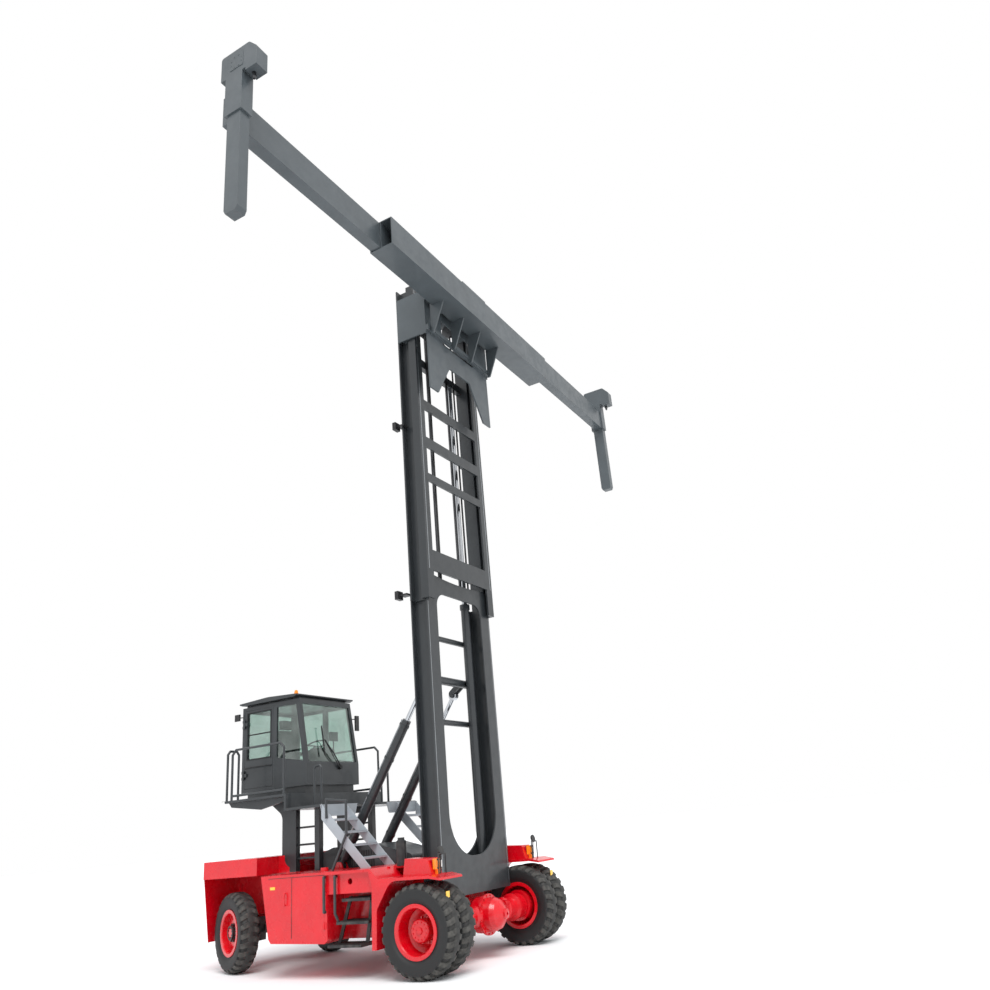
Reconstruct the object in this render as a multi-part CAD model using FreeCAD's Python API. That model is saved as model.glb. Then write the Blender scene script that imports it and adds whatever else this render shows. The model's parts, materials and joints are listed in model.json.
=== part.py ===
"""Empty container handler: a four-wheel lift truck with a two-stage mast and a side-lift spreader.

Millimetres. While it is built, X points forward, Y to the driver's left and Z up, with X = 0
above the drive axle and Z = 0 on the ground. export_nodes() then moves everything along X so
that the origin lies on the ground below the middle of the whole machine.
The mast stands raised, the spreader is out at 40 ft and the rear wheels are steered.
"""
import FreeCAD, Part
import math
import os
from FreeCAD import Vector

# Wheels and axles
axle_height = 605
tyre_radius = 605
tyre_width = 325
bead_radius = 305
rim_flange_radius = 352
rim_wall = 14
rim_edge_inset = 22
rim_lip = 15
twin_spacing = 362
twin_mid_y = 1448
hub_radius = 150
drum_radius = 232
spindle_radius = 60
running_gap = 0.3
clearance = 8
wheelbase = 4020
kingpin_y = 800
kingpin_offset = 270
steer_rest_deg = -21
kingpin_radius = 36

# Chassis
tail_x = -4930
deck_z = 1710
arch_z = 1440
counterweight_half = 1250
counterweight_front_x = -3490
rear_wall = 140
tow_z = 820
tow_inset = 75
tow_shaft_radius = 34
tow_radius = 26
body_half = 750
chassis_half_rear = 380
frame_outer_y = 620
frame_rail = 140
frame_low_z = 800
frame_high_z = 1300
frame_front_x = -620
tank_outer_y = 1700
tank_inner_y = 800
tank_rear_x = -2940
tank_front_x = -1610
tank_top_z = 1440
tank_low_z = 500
step_thickness = 36
fender_outer_y = 1750
fender_inner_y = 1170
fender_top_z = 1300
fender_plate = 40
fender_front_x = 430
fender_post_x = -740
fender_low_z = 390
panel_top_z = 1440

# Mast
mast_pivot_x = -460
mast_pivot_z = 1000
mast_foot_z = 918
mast_front_x = -40
mast_rear_x = -370
mast_plate = 25
column_outer = 990
column_web = 870
column_inner = 700
window_low_z = 1460
window_high_z = 5600
mast_side_top_z = 5930
mast_mid_top_z = 5860
rail_outer = 1045
rail_web = 910
rail_low_z = 5450
rail_high_z = 11550
lift_stroke = 4450
lift_bore_low_z = 1150
lift_reserve = 10
lift_cylinder_y = 550
lift_cylinder_x = -270
lift_barrel_radius = 75
lift_rod_radius = 48
torque_tube_x = -420
torque_tube_z = 4240
chain_y = 330
chain_rear_x = -200
chain_front_x = 95

# Tilt cylinders
tilt_y = 500
tilt_eye_x = -2360
tilt_eye_z = 1470
tilt_clevis_x = -600
tilt_clevis_z = 4060
tilt_barrel_radius = 72
tilt_rod_radius = 40
tilt_rod_share = 0.17
tilt_pin_radius = 35
tilt_eye_play = 4
tilt_bore_start = 250
tilt_rod_start = 440

# Carriage and spreader
carriage_x = 300
carriage_plate = 30
carriage_half = 1040
carriage_corner_z = 9260
carriage_mid_z = 9950
carriage_arm_z = 10380
carriage_top_z = 11300
carriage_arm_y = 1062
shift_rail_z = (10420, 11080)
shift_rail_height = 110
frame_x = (440, 900)
frame_z = (10960, 11500)
frame_half = 2810
frame_wall = 16
beam_inner_end = 1950
beam_wall = 14
lock_y = 5992.5
lock_x = 1034
head_half_width = 100
head_low_z = 11650
head_top_z = 12080
leg_low_z = 9350
head_rear_x = 510
head_front_x = 1030
hook_tip_x = 1170
hook_low_z = 11600
lock_radius = 28

# Cab
cab_half = 690
cab_rear_x = -4475
cab_foot_front_x = -2915
cab_head_front_x = -3095
cab_floor_z = 2800
cab_sill_z = 3165
door_sill_z = 3375
pillar = 90
cab_head_z = 4300
cab_wall = 45
roof_z = 4330
door_rear_x = -4410
door_front_x = -3720
hinge_radius = 18
hinge_pin_radius = 8
hinge_gap = 5
hinge_heights = (3100, 4000)
platform_z = 2660
platform_outer_y = 1280
platform_rear_x = -4240
platform_plate = 40
landing_z = 2430
landing_front_x = -2080
landing_rear_x = -2860
stair_foot_x = -1120
stair_width = 600
rail_tube = 20
column_y = 700

nodes = {}


def box(x0, x1, y0, y1, z0, z1):
    """Block between two corners."""
    low = Vector(min(x0, x1), min(y0, y1), min(z0, z1))
    return Part.makeBox(abs(x1 - x0), abs(y1 - y0), abs(z1 - z0), low)


def on_plane(plane, a, b, along):
    """Point with coordinates (a, b) in the named plane, at a place along its normal."""
    if plane == "xz":
        return Vector(a, along, b)
    if plane == "yz":
        return Vector(along, a, b)
    return Vector(a, b, along)


def outline(plane, points, along=0.0):
    """Closed wire through (a, b) or (a, b, corner radius) points; corners become tangent arcs."""
    flat = [Vector(p[0], p[1], 0) for p in points]
    radii = [p[2] if len(p) > 2 else 0 for p in points]
    count = len(flat)
    stops = []
    for i, corner in enumerate(flat):
        if not radii[i]:
            stops.append((corner, None, corner))
            continue
        back = (flat[i - 1] - corner).normalize()
        ahead = (flat[(i + 1) % count] - corner).normalize()
        half = back.getAngle(ahead) / 2
        reach = radii[i] / math.tan(half)
        middle = corner + (back + ahead).normalize() * (radii[i] / math.sin(half) - radii[i])
        stops.append((corner + back * reach, middle, corner + ahead * reach))

    def place(p):
        return on_plane(plane, p.x, p.y, along)

    edges = []
    for i, (start, middle, end) in enumerate(stops):
        if middle is not None:
            edges.append(Part.Arc(place(start), place(middle), place(end)).toShape())
        following = stops[(i + 1) % count][0]
        if end.distanceToPoint(following) > 1e-6:
            edges.append(Part.LineSegment(place(end), place(following)).toShape())
    return Part.Wire(edges)


def plate(plane, points, low, high):
    """Outline in a plane, made solid from low to high along the plane's normal."""
    face = Part.Face(outline(plane, points, low))
    return face.extrude(on_plane(plane, 0, 0, high - low))


def turned(axis, centre, points):
    """Solid of revolution about an axis; points are (along, radius) or with a corner radius."""
    ring = Part.Face(outline("yz", points))
    solid = ring.revolve(Vector(0, 0, 0), Vector(0, 1, 0), 360)
    if axis == "x":
        solid.rotate(Vector(0, 0, 0), Vector(0, 0, 1), -90)
    if axis == "z":
        solid.rotate(Vector(0, 0, 0), Vector(1, 0, 0), 90)
    solid.translate(centre)
    return solid


def rod(start, end, radius):
    """Round bar between two points."""
    start, end = Vector(*start), Vector(*end)
    return Part.makeCylinder(radius, (end - start).Length, start, end - start)


def bent_tube(points, radius):
    """Round tube along straight runs, with a ball at each bend."""
    pieces = [rod(a, b, radius) for a, b in zip(points, points[1:])]
    pieces += [Part.makeSphere(radius, Vector(*p)) for p in points[1:-1]]
    return fused(pieces)


def fused(pieces):
    """One solid from pieces that touch or overlap."""
    whole = pieces[0].fuse(pieces[1:]) if len(pieces) > 1 else pieces[0]
    return whole.removeSplitter()


def mirrored(shape):
    """Copy on the other side of the machine."""
    return shape.mirror(Vector(0, 0, 0), Vector(0, 1, 0))


def add(name, *pieces):
    """Register a node made of one solid or of several that stand apart."""
    nodes[name] = pieces[0] if len(pieces) == 1 else Part.makeCompound(list(pieces))


def tyre(y):
    """Tyre ring about the Y axis with rounded shoulders and flat beads."""
    half = tyre_width / 2
    bead = half - rim_edge_inset - rim_lip - running_gap
    seat = bead_radius + running_gap
    flange = rim_flange_radius + running_gap
    return turned("y", Vector(0, y, 0), [
        (-bead, seat), (-bead, flange), (-half + 6, flange + 12), (-half, flange + 70),
        (-half, tyre_radius - 85), (-half + 26, tyre_radius - 12), (-half + 50, tyre_radius),
        (half - 50, tyre_radius), (half - 26, tyre_radius - 12), (half, tyre_radius - 85),
        (half, flange + 70), (half - 6, flange + 12), (bead, flange), (bead, seat)])


def rim(y, disc_from, disc_to, disc_inner):
    """Rim barrel with a dished disc from disc_from at its centre to disc_to at the barrel."""
    edge = tyre_width / 2 - rim_edge_inset
    bead = edge - rim_lip
    bore = bead_radius - rim_wall
    barrel = turned("y", Vector(0, y, 0), [
        (-edge, rim_flange_radius), (-bead, rim_flange_radius), (-bead, bead_radius),
        (bead, bead_radius), (bead, rim_flange_radius), (edge, rim_flange_radius),
        (edge, bore + 10), (bead, bore), (-bead, bore), (-edge, bore + 10)])
    disc = turned("y", Vector(0, 0, 0), [
        (disc_from, disc_inner), (disc_from, 195), (disc_to, bore + 4),
        (disc_to + rim_wall, bore + 4), (disc_from + rim_wall, 195), (disc_from + rim_wall, disc_inner)])
    return fused([barrel, disc])


def front_wheel(side):
    """Twin tyres, twin rims with the hub between them, on the drive axle's right (-1) or left (1)."""
    outer_y = twin_mid_y + twin_spacing / 2
    inner_y = twin_mid_y - twin_spacing / 2
    tyres = [tyre(outer_y), tyre(inner_y)]
    outer = rim(outer_y, twin_mid_y, twin_mid_y + 66, hub_radius - 20)
    inner = rim(inner_y, twin_mid_y - rim_wall, twin_mid_y - 66 - rim_wall, hub_radius - 20)
    cover_y = outer_y + 40
    hub = turned("y", Vector(0, 0, 0), [
        (1100, spindle_radius + running_gap), (1100, drum_radius), (1290, drum_radius),
        (1310, 180), (twin_mid_y - 40, 180), (twin_mid_y - 40, hub_radius),
        (cover_y - 14, hub_radius), (cover_y, hub_radius - 14), (cover_y, 0), (1290, 0), (1290, spindle_radius + running_gap)])
    rims = fused([outer, inner, hub])
    place = Vector(0, 0, axle_height)
    shapes = [tyres[0], tyres[1], rims]
    for shape in shapes:
        shape.translate(place)
    if side < 0:
        shapes = [mirrored(shape) for shape in shapes]
    name = "left" if side > 0 else "right"
    add("tyres_front_" + name, shapes[0], shapes[1])
    add("rims_front_" + name, shapes[2])


def rear_wheel(side):
    """Single steered wheel with its knuckle, turned by the resting steering angle."""
    centre = kingpin_offset
    wheel_tyre = tyre(centre)
    wheel_rim = rim(centre, centre + 40, centre + 10, 80)
    hub = turned("y", Vector(0, 0, 0), [
        (125, spindle_radius + running_gap), (125, 120), (centre + 20, 120),
        (centre + 20, 150), (centre + 40, 150), (centre + 40, 105), (centre + 98, 105),
        (centre + 110, 92), (centre + 110, 0), (centre + 60, 0), (centre + 60, spindle_radius + running_gap)])
    wheel_rim = fused([wheel_rim, hub])
    boss = Part.makeCylinder(80, 150, Vector(0, 0, -75))
    pin = Part.makeCylinder(kingpin_radius, 380, Vector(0, 0, -190))
    knuckle = fused([boss, pin, rod((0, 0, 0), (0, centre + 55, 0), spindle_radius),
                     rod((0, 70, 0), (0, 115, 0), 76)])
    shapes = [wheel_tyre, wheel_rim, knuckle]
    for i, shape in enumerate(shapes):
        if side < 0:
            shape = shape.mirror(Vector(0, 0, 0), Vector(0, 1, 0))
        shape.rotate(Vector(0, 0, 0), Vector(0, 0, 1), steer_rest_deg)
        shape.translate(Vector(-wheelbase, side * kingpin_y, axle_height))
        shapes[i] = shape
    name = "left" if side > 0 else "right"
    add("tyre_rear_" + name, shapes[0])
    add("rim_rear_" + name, shapes[1])
    add("knuckle_" + name, shapes[2])


def drive_axle():
    """Axle tube with flanged housings at both ends and a differential bowl in the middle."""
    half_profile = [
        (0, 0), (0, 150), (250, 150), (330, 115), (560, 115), (600, 175), (640, 175), (640, 130),
        (840, 150), (860, 205), (900, 205), (900, 170), (1080, 190),
        (1092, spindle_radius), (1285, spindle_radius), (1285, 0)]
    left = turned("y", Vector(0, 0, axle_height), half_profile)
    bowl = turned("x", Vector(0, 0, axle_height), [
        (-240, 0), (-240, 100), (-215, 140), (-130, 225), (-70, 255), (90, 265), (90, 290),
        (125, 290), (125, 240), (240, 232), (310, 200), (380, 115), (410, 60), (410, 0)])
    saddles = []
    for y in (-540, 540):
        saddles.append(plate("xz", [
            (frame_front_x - 140, frame_low_z), (frame_front_x - 140, frame_low_z - 100),
            (-150, 470, 60), (150, 470, 40), (150, 740, 40), (-150, 770),
            (frame_front_x + 60, frame_low_z)], y - 60, y + 60))
    add("drive_axle", fused([left, mirrored(left), bowl] + saddles))


def steer_axle():
    """Beam between the rear wheels with a pivot block and an ear above and below each knuckle."""
    x = -wheelbase
    z = axle_height
    beam = plate("yz", [(-620, z - 60), (-200, z - 110, 80), (200, z - 110, 80), (620, z - 60),
                        (620, z + 60), (200, z + 100, 80), (-200, z + 100, 80), (-620, z + 60)],
                 x - 110, x + 110)
    pieces = [beam, box(x - 90, x + 90, -300, 300, z + 40, frame_low_z)]
    for side in (-1, 1):
        y = side * kingpin_y
        web = box(x - 70, x + 70, side * 560, side * 700, z - 180, z + 180)
        ears = []
        for low in (z - 180, z + 83):
            arm = box(x - 70, x + 70, side * 640, y, low, low + 97)
            ears.append(fused([arm, Part.makeCylinder(95, 97, Vector(x, y, low))]))
        pieces += [web.common(box(x - 80, x + 80, side * 560, side * 695, 0, 2000))] + ears
    axle = fused(pieces)
    for side in (-1, 1):
        y = side * kingpin_y
        axle = axle.cut(Part.makeCylinder(kingpin_radius + running_gap, 600, Vector(x, y, z - 300)))
        axle = axle.cut(Part.makeCylinder(88, 166, Vector(x, y, z - 83)))
    add("steer_axle", axle)


def chassis_frame():
    """Two rails that narrow between the rear wheels, cross members and the mast's bearing lugs."""
    outer, inner = frame_outer_y, frame_outer_y - frame_rail
    rear, rear_inner = chassis_half_rear, chassis_half_rear - frame_rail
    rails = []
    for side in (-1, 1):
        rails.append(plate("xy", [
            (-4700, side * rear_inner), (-3000, side * rear_inner), (-2740, side * inner),
            (frame_front_x, side * inner), (frame_front_x, side * outer),
            (-2800, side * outer), (-3060, side * rear), (-4700, side * rear)],
            frame_low_z, frame_high_z))
    cross = []
    for x in (-4300, -2950, -1750, -900):
        cross.append(box(x, x + 120, -inner - 20, inner + 20, frame_low_z + 60, frame_high_z - 60)
                     if x > -2900 else
                     box(x, x + 120, -rear_inner - 20, rear_inner + 20, frame_low_z, frame_high_z))
    lugs = []
    for side in (-1, 1):
        lug = plate("xz", [(frame_front_x - 80, 820), (mast_pivot_x + 60, 880, 60),
                           (mast_pivot_x + 60, 1100, 55), (mast_pivot_x - 90, 1100, 75),
                           (frame_front_x - 80, 1200)],
                    side * outer - side * 90, side * outer - side * 30)
        pin = rod((mast_pivot_x, side * (outer - 100), mast_pivot_z),
                  (mast_pivot_x, side * (outer + 120), mast_pivot_z), 45)
        lugs += [lug, pin]
    deck = box(tank_rear_x - 60, -1500, -body_half, body_half, frame_high_z, frame_high_z + 40)
    tilt_lugs = []
    for y in (-tilt_y, tilt_y):
        for gap in (-62, 62):
            tilt_lugs.append(plate("xz", [
                (tilt_eye_x - 150, frame_high_z), (tilt_eye_x + 150, frame_high_z),
                (tilt_eye_x + 60, tilt_eye_z + 60, 50), (tilt_eye_x - 60, tilt_eye_z + 60, 50)],
                y + gap - 12, y + gap + 12))
        tilt_lugs.append(rod((tilt_eye_x, y - 80, tilt_eye_z), (tilt_eye_x, y + 80, tilt_eye_z),
                             tilt_pin_radius))
    add("chassis_frame", fused(rails + cross + lugs + [deck] + tilt_lugs))


def counterweight():
    """Cast block with chamfered rear corners above the rear wheels and a tapered wall behind them."""
    half = counterweight_half
    plan = [(counterweight_front_x, -half), (tail_x + 210, -half), (tail_x, -half + 230),
            (tail_x, half - 230), (tail_x + 210, half), (counterweight_front_x, half)]
    upper = plate("xy", plan, arch_z, deck_z)
    neck = box(counterweight_front_x, -3250, -body_half, body_half, arch_z, deck_z)
    scoop = plate("xz", [(-3360, deck_z + 20), (-3360, 1515, 150), (-3200, 1515), (-3200, deck_z + 20)],
                  -body_half - 10, body_half + 10)
    foot = box(-3330, tank_rear_x - 60, -body_half, body_half, frame_high_z, arch_z)
    inner = box(counterweight_front_x, -3250, -chassis_half_rear, chassis_half_rear, frame_high_z, arch_z)
    wall_x = tail_x + rear_wall
    chamfer = 230 * (1 - rear_wall / 210)
    sections = []
    for z, cut in ((arch_z, 0), (460, 130)):
        width = half - chamfer - cut
        sections.append(Part.makePolygon([
            Vector(tail_x, -half + 230 + cut, z), Vector(tail_x, half - 230 - cut, z),
            Vector(wall_x, width, z), Vector(wall_x, -width, z), Vector(tail_x, -half + 230 + cut, z)]))
    wall = Part.makeLoft(sections, True, True)
    core = box(wall_x, -4500, -chassis_half_rear, chassis_half_rear, 460, arch_z)
    saddle = box(-4500, -3500, -chassis_half_rear, chassis_half_rear, frame_high_z, arch_z)
    block = fused([upper, neck, foot, inner, wall, core, saddle]).cut(scoop)
    frame_space = box(-4710, -4490, -chassis_half_rear, chassis_half_rear, frame_low_z, frame_high_z)
    block = block.cut(frame_space)
    pocket = box(tail_x - 10, tail_x + 120, -130, 130, 700, 1000)
    tongue = box(tail_x + 5, tail_x + 130, -60, 60, tow_z - 20, tow_z + 20)
    pin_hole = Part.makeCylinder(tow_radius, 60, Vector(tail_x + tow_inset, 0, tow_z - 30))
    shaft = Part.makeCylinder(tow_shaft_radius, deck_z - 940, Vector(tail_x + tow_inset, 0, 960))
    add("counterweight", fused([block.cut(pocket.fuse(shaft)), tongue]).cut(pin_hole))


def side_tanks():
    """Tank boxes between the wheels: slanted rear edge, clipped lower rear corner, welded sides."""
    profile = [(tank_rear_x, tank_top_z), (tank_rear_x + 170, tank_low_z + 60),
               (tank_rear_x + 220, tank_low_z), (tank_front_x - 60, tank_low_z - 20),
               (tank_front_x, tank_low_z + 20), (tank_front_x, tank_top_z)]
    tank = plate("xz", profile, -tank_outer_y, -tank_inner_y)
    frame_tie = box(-2650, tank_front_x - 100, -tank_inner_y, -frame_outer_y, 850, 1200)
    tank = fused([tank, frame_tie])
    add("side_tanks", tank, mirrored(tank))


def fenders():
    """Front fender on each side with its arch, sloping front flap, rear post and step panel."""
    t = fender_plate
    arch_x = fender_post_x + 20
    top = fender_top_z
    profile = [(fender_front_x, top - 70), (fender_front_x - 10, top - 40), (250, top, 60),
               (fender_post_x + 110, top), (fender_post_x - 40, panel_top_z, 20),
               (tank_front_x, panel_top_z), (tank_front_x, panel_top_z - t),
               (fender_post_x - 60, panel_top_z - t), (fender_post_x, top - t - 60),
               (fender_post_x - 20, fender_low_z), (fender_post_x + 60, fender_low_z),
               (arch_x + 60, 900, 120), (fender_post_x + 330, top - t, 200), (250, top - t)]
    shell = plate("xz", profile, -fender_outer_y, -fender_inner_y)
    panel = box(tank_front_x, fender_post_x - 40, -fender_outer_y + 60, -fender_outer_y + 90,
                1130, panel_top_z - 5)
    back = box(tank_front_x, fender_post_x, -1330, -1300, tank_low_z, panel_top_z - 5)
    hole = Part.makeCylinder(42, 60, Vector(-1180, -fender_outer_y + 50, 1290), Vector(0, 1, 0))
    tool_box = plate("xz", [(-350, top), (-310, 1530), (90, 1510), (140, top)], -1520, -1250)
    deck = box(-1500, -560, -fender_inner_y, -frame_outer_y - 20, panel_top_z - t, panel_top_z)
    deck_tie = box(-1300, -900, -frame_outer_y - 60, -frame_outer_y, 1150, panel_top_z - t)
    shape = fused([shell, panel.cut(hole), back, tool_box, deck, deck_tie])
    add("fenders", shape, mirrored(shape))


def entry_steps():
    """Three treads between two slanted cheeks in the recess ahead of each tank."""
    levels = ((460, -1620, -1000), (760, -1450, -860), (1060, -1340, -820))
    pieces = []
    for z, x0, x1 in levels:
        pieces.append(box(x0, x1, -fender_outer_y + 60, -1330, z - step_thickness, z))
    cheek = plate("xz", [(-1600, 430), (-1540, 430), (-1300, 1080), (-1360, 1080)],
                  -1500, -1480)
    pieces.append(cheek)
    post = plate("xz", [(-1080, 430), (-1020, 430), (-900, 1080), (-960, 1080)], -1500, -1480)
    pieces.append(post)
    steps = fused(pieces)
    add("entry_steps", steps, mirrored(steps))


def engine_and_hood():
    """Engine block low between the rails and the dark hood that covers it."""
    inner = frame_outer_y - frame_rail
    block = box(-2560, -1800, -330, 330, frame_low_z - 150, frame_high_z - clearance)
    feet = [box(x, x + 120, -inner, inner, 960, 1030) for x in (-2450, -2030)]
    add("engine", fused([block] + feet))
    x0, x1 = tank_rear_x - 50, -980
    skin = plate("xz", [(x0, frame_high_z + 40), (x0, 1640, 60), (-2600, 1760, 80),
                        (-1700, 1760, 80), (x1, 1560, 60), (x1, frame_high_z + 40)], -410, 410)
    tie = box(-1480, x1, -inner - 20, inner + 20, frame_high_z, frame_high_z + 40)
    add("hood", fused([skin, tie]))


def cab_support():
    """Rear column with an arched gusset, front post and three bars on each side of the cab."""
    low = frame_high_z + 40
    y0, y1 = -column_y - 50, -column_y + 50
    column = plate("xz", [(-3420, arch_z), (-3420, 2350, 160), (-3700, 2560),
                          (-3700, platform_z - platform_plate), (-2950, platform_z - platform_plate),
                          (-2950, 2560), (-3110, 2460, 90), (-3110, low), (-3190, low),
                          (-3190, arch_z)], y0, y1)
    under_landing = landing_z - platform_plate
    post = box(-2700, -2600, y0, y1, low, under_landing)
    bars = [rod((-3115, -column_y, z), (-2690, -column_y, z), 16) for z in (1640, 1850, 2120)]
    side = fused([column, post] + bars)
    cross = [box(-3420, -3190, -column_y, column_y, 2440, 2600),
             box(-2700, -2600, -column_y, column_y, under_landing - 100, under_landing)]
    frame = fused([side, mirrored(side)] + cross)
    add("cab_support", frame.cut(nodes["counterweight"]))


def walkways():
    """Platform beside the cab, landing ahead of it and a flight of stairs, on both sides."""
    top = platform_z
    t = platform_plate
    pieces = []
    under = plate("xz", [(platform_rear_x, top - t), (platform_rear_x + 60, top - 110), (-3500, top - 200),
                         (-2950, top - 110), (landing_rear_x, top - t)], -1180, -1150)
    pieces.append(under)
    pieces.append(box(platform_rear_x, landing_rear_x, -platform_outer_y, platform_outer_y,
                      top - t, top))
    pieces.append(box(cab_rear_x, landing_rear_x, -cab_half, cab_half, top - t, top))
    pieces.append(box(landing_rear_x - 20, landing_rear_x + 20, -platform_outer_y, platform_outer_y,
                      landing_z - t, top))
    pieces.append(mirrored(under))
    landing = box(landing_rear_x, landing_front_x, -platform_outer_y, platform_outer_y,
                  landing_z - t, landing_z)
    pieces.append(landing)
    pieces.append(box(cab_rear_x + 110, cab_foot_front_x - 90, -cab_half + 50, cab_half - 50, top,
                      cab_floor_z))
    add("walkway", fused(pieces))
    rise = (landing_z - panel_top_z) / 5
    run = (stair_foot_x - landing_front_x) / 5
    y0, y1 = -platform_outer_y, -platform_outer_y + stair_width
    flight = []
    for y in (y0, y1 - 12):
        flight.append(plate("xz", [
            (landing_front_x, landing_z), (landing_front_x, landing_z - 230),
            (stair_foot_x - 190, panel_top_z), (stair_foot_x, panel_top_z)], y, y + 12))
    for i in range(1, 5):
        x, z = landing_front_x + i * run, landing_z - i * rise
        flight.append(box(x - 130, x + 60, y0 + 12, y1 - 12, z - 80, z - 50))
    fascia = plate("yz", [(-1310, landing_z - 10), (-1260, landing_z - 190, 60),
                          (-460, landing_z - 190, 40), (-400, landing_z - 10)],
                   landing_front_x, landing_front_x + 12)
    stairs = fused(flight + [fascia])
    add("stairs", stairs, mirrored(stairs))


def railings():
    """Tube handrails round the platform, landing, stairs and entry steps, on both sides."""
    y = -platform_outer_y + rail_tube
    top = platform_z + 830
    loop_x = platform_rear_x + rail_tube + 5
    grab_y = -tank_outer_y - 35
    stair_y = -platform_outer_y - rail_tube
    runs = [
        [(-2900, y, platform_z), (-2900, y, top - 80), (-2980, y, top), (-4020, y, top),
         (-4100, y, top - 80), (-4100, y, platform_z)],
        [(-2900, y, platform_z + 70), (-4100, y, platform_z + 70)],
        [(loop_x, y, platform_z), (loop_x, y, top - 60), (loop_x, y + 50, top), (loop_x, -1060, top),
         (loop_x, -1010, top - 60), (loop_x, -1010, platform_z)],
        [(-2560, -900, landing_z), (-2560, -900, 3030), (-2525, -900, 3070), (-2445, -900, 3070),
         (-2410, -900, 3030), (-2410, -900, landing_z)],
        [(-1960, stair_y, landing_z - 230), (-1960, stair_y, 2490), (-1560, stair_y, 2430),
         (-1560, stair_y, 1950), (-1760, stair_y - 100, tank_top_z)],
        [(-1640, -tank_outer_y, 1370), (-1640, grab_y, 1370), (-1640, grab_y, 900),
         (-1640, -tank_outer_y, 900)],
        [(-1430, -fender_outer_y + 60, 1370), (-1430, grab_y, 1370), (-1430, grab_y, 880),
         (-1430, -fender_outer_y + 90, 760)],
    ]
    fence = fused([bent_tube(run, rail_tube) for run in runs[:2]])
    others = [bent_tube(run, rail_tube) for run in runs[2:]]
    shapes = [fence] + others
    for carrier in ("entry_steps", "side_tanks", "fenders", "stairs", "walkway"):
        shapes = [shape.cut(nodes[carrier]) for shape in shapes]
    add("railings", *(shapes + [mirrored(shape) for shape in shapes]))


def slanted_front(inset, low, high):
    """X of the cab's front face, inset from its outside, at heights low and high."""
    lean = (cab_head_front_x - cab_foot_front_x) / (cab_head_z - cab_sill_z)
    return [cab_foot_front_x - inset + lean * max(0, z - cab_sill_z) for z in (low, high)]


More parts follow.
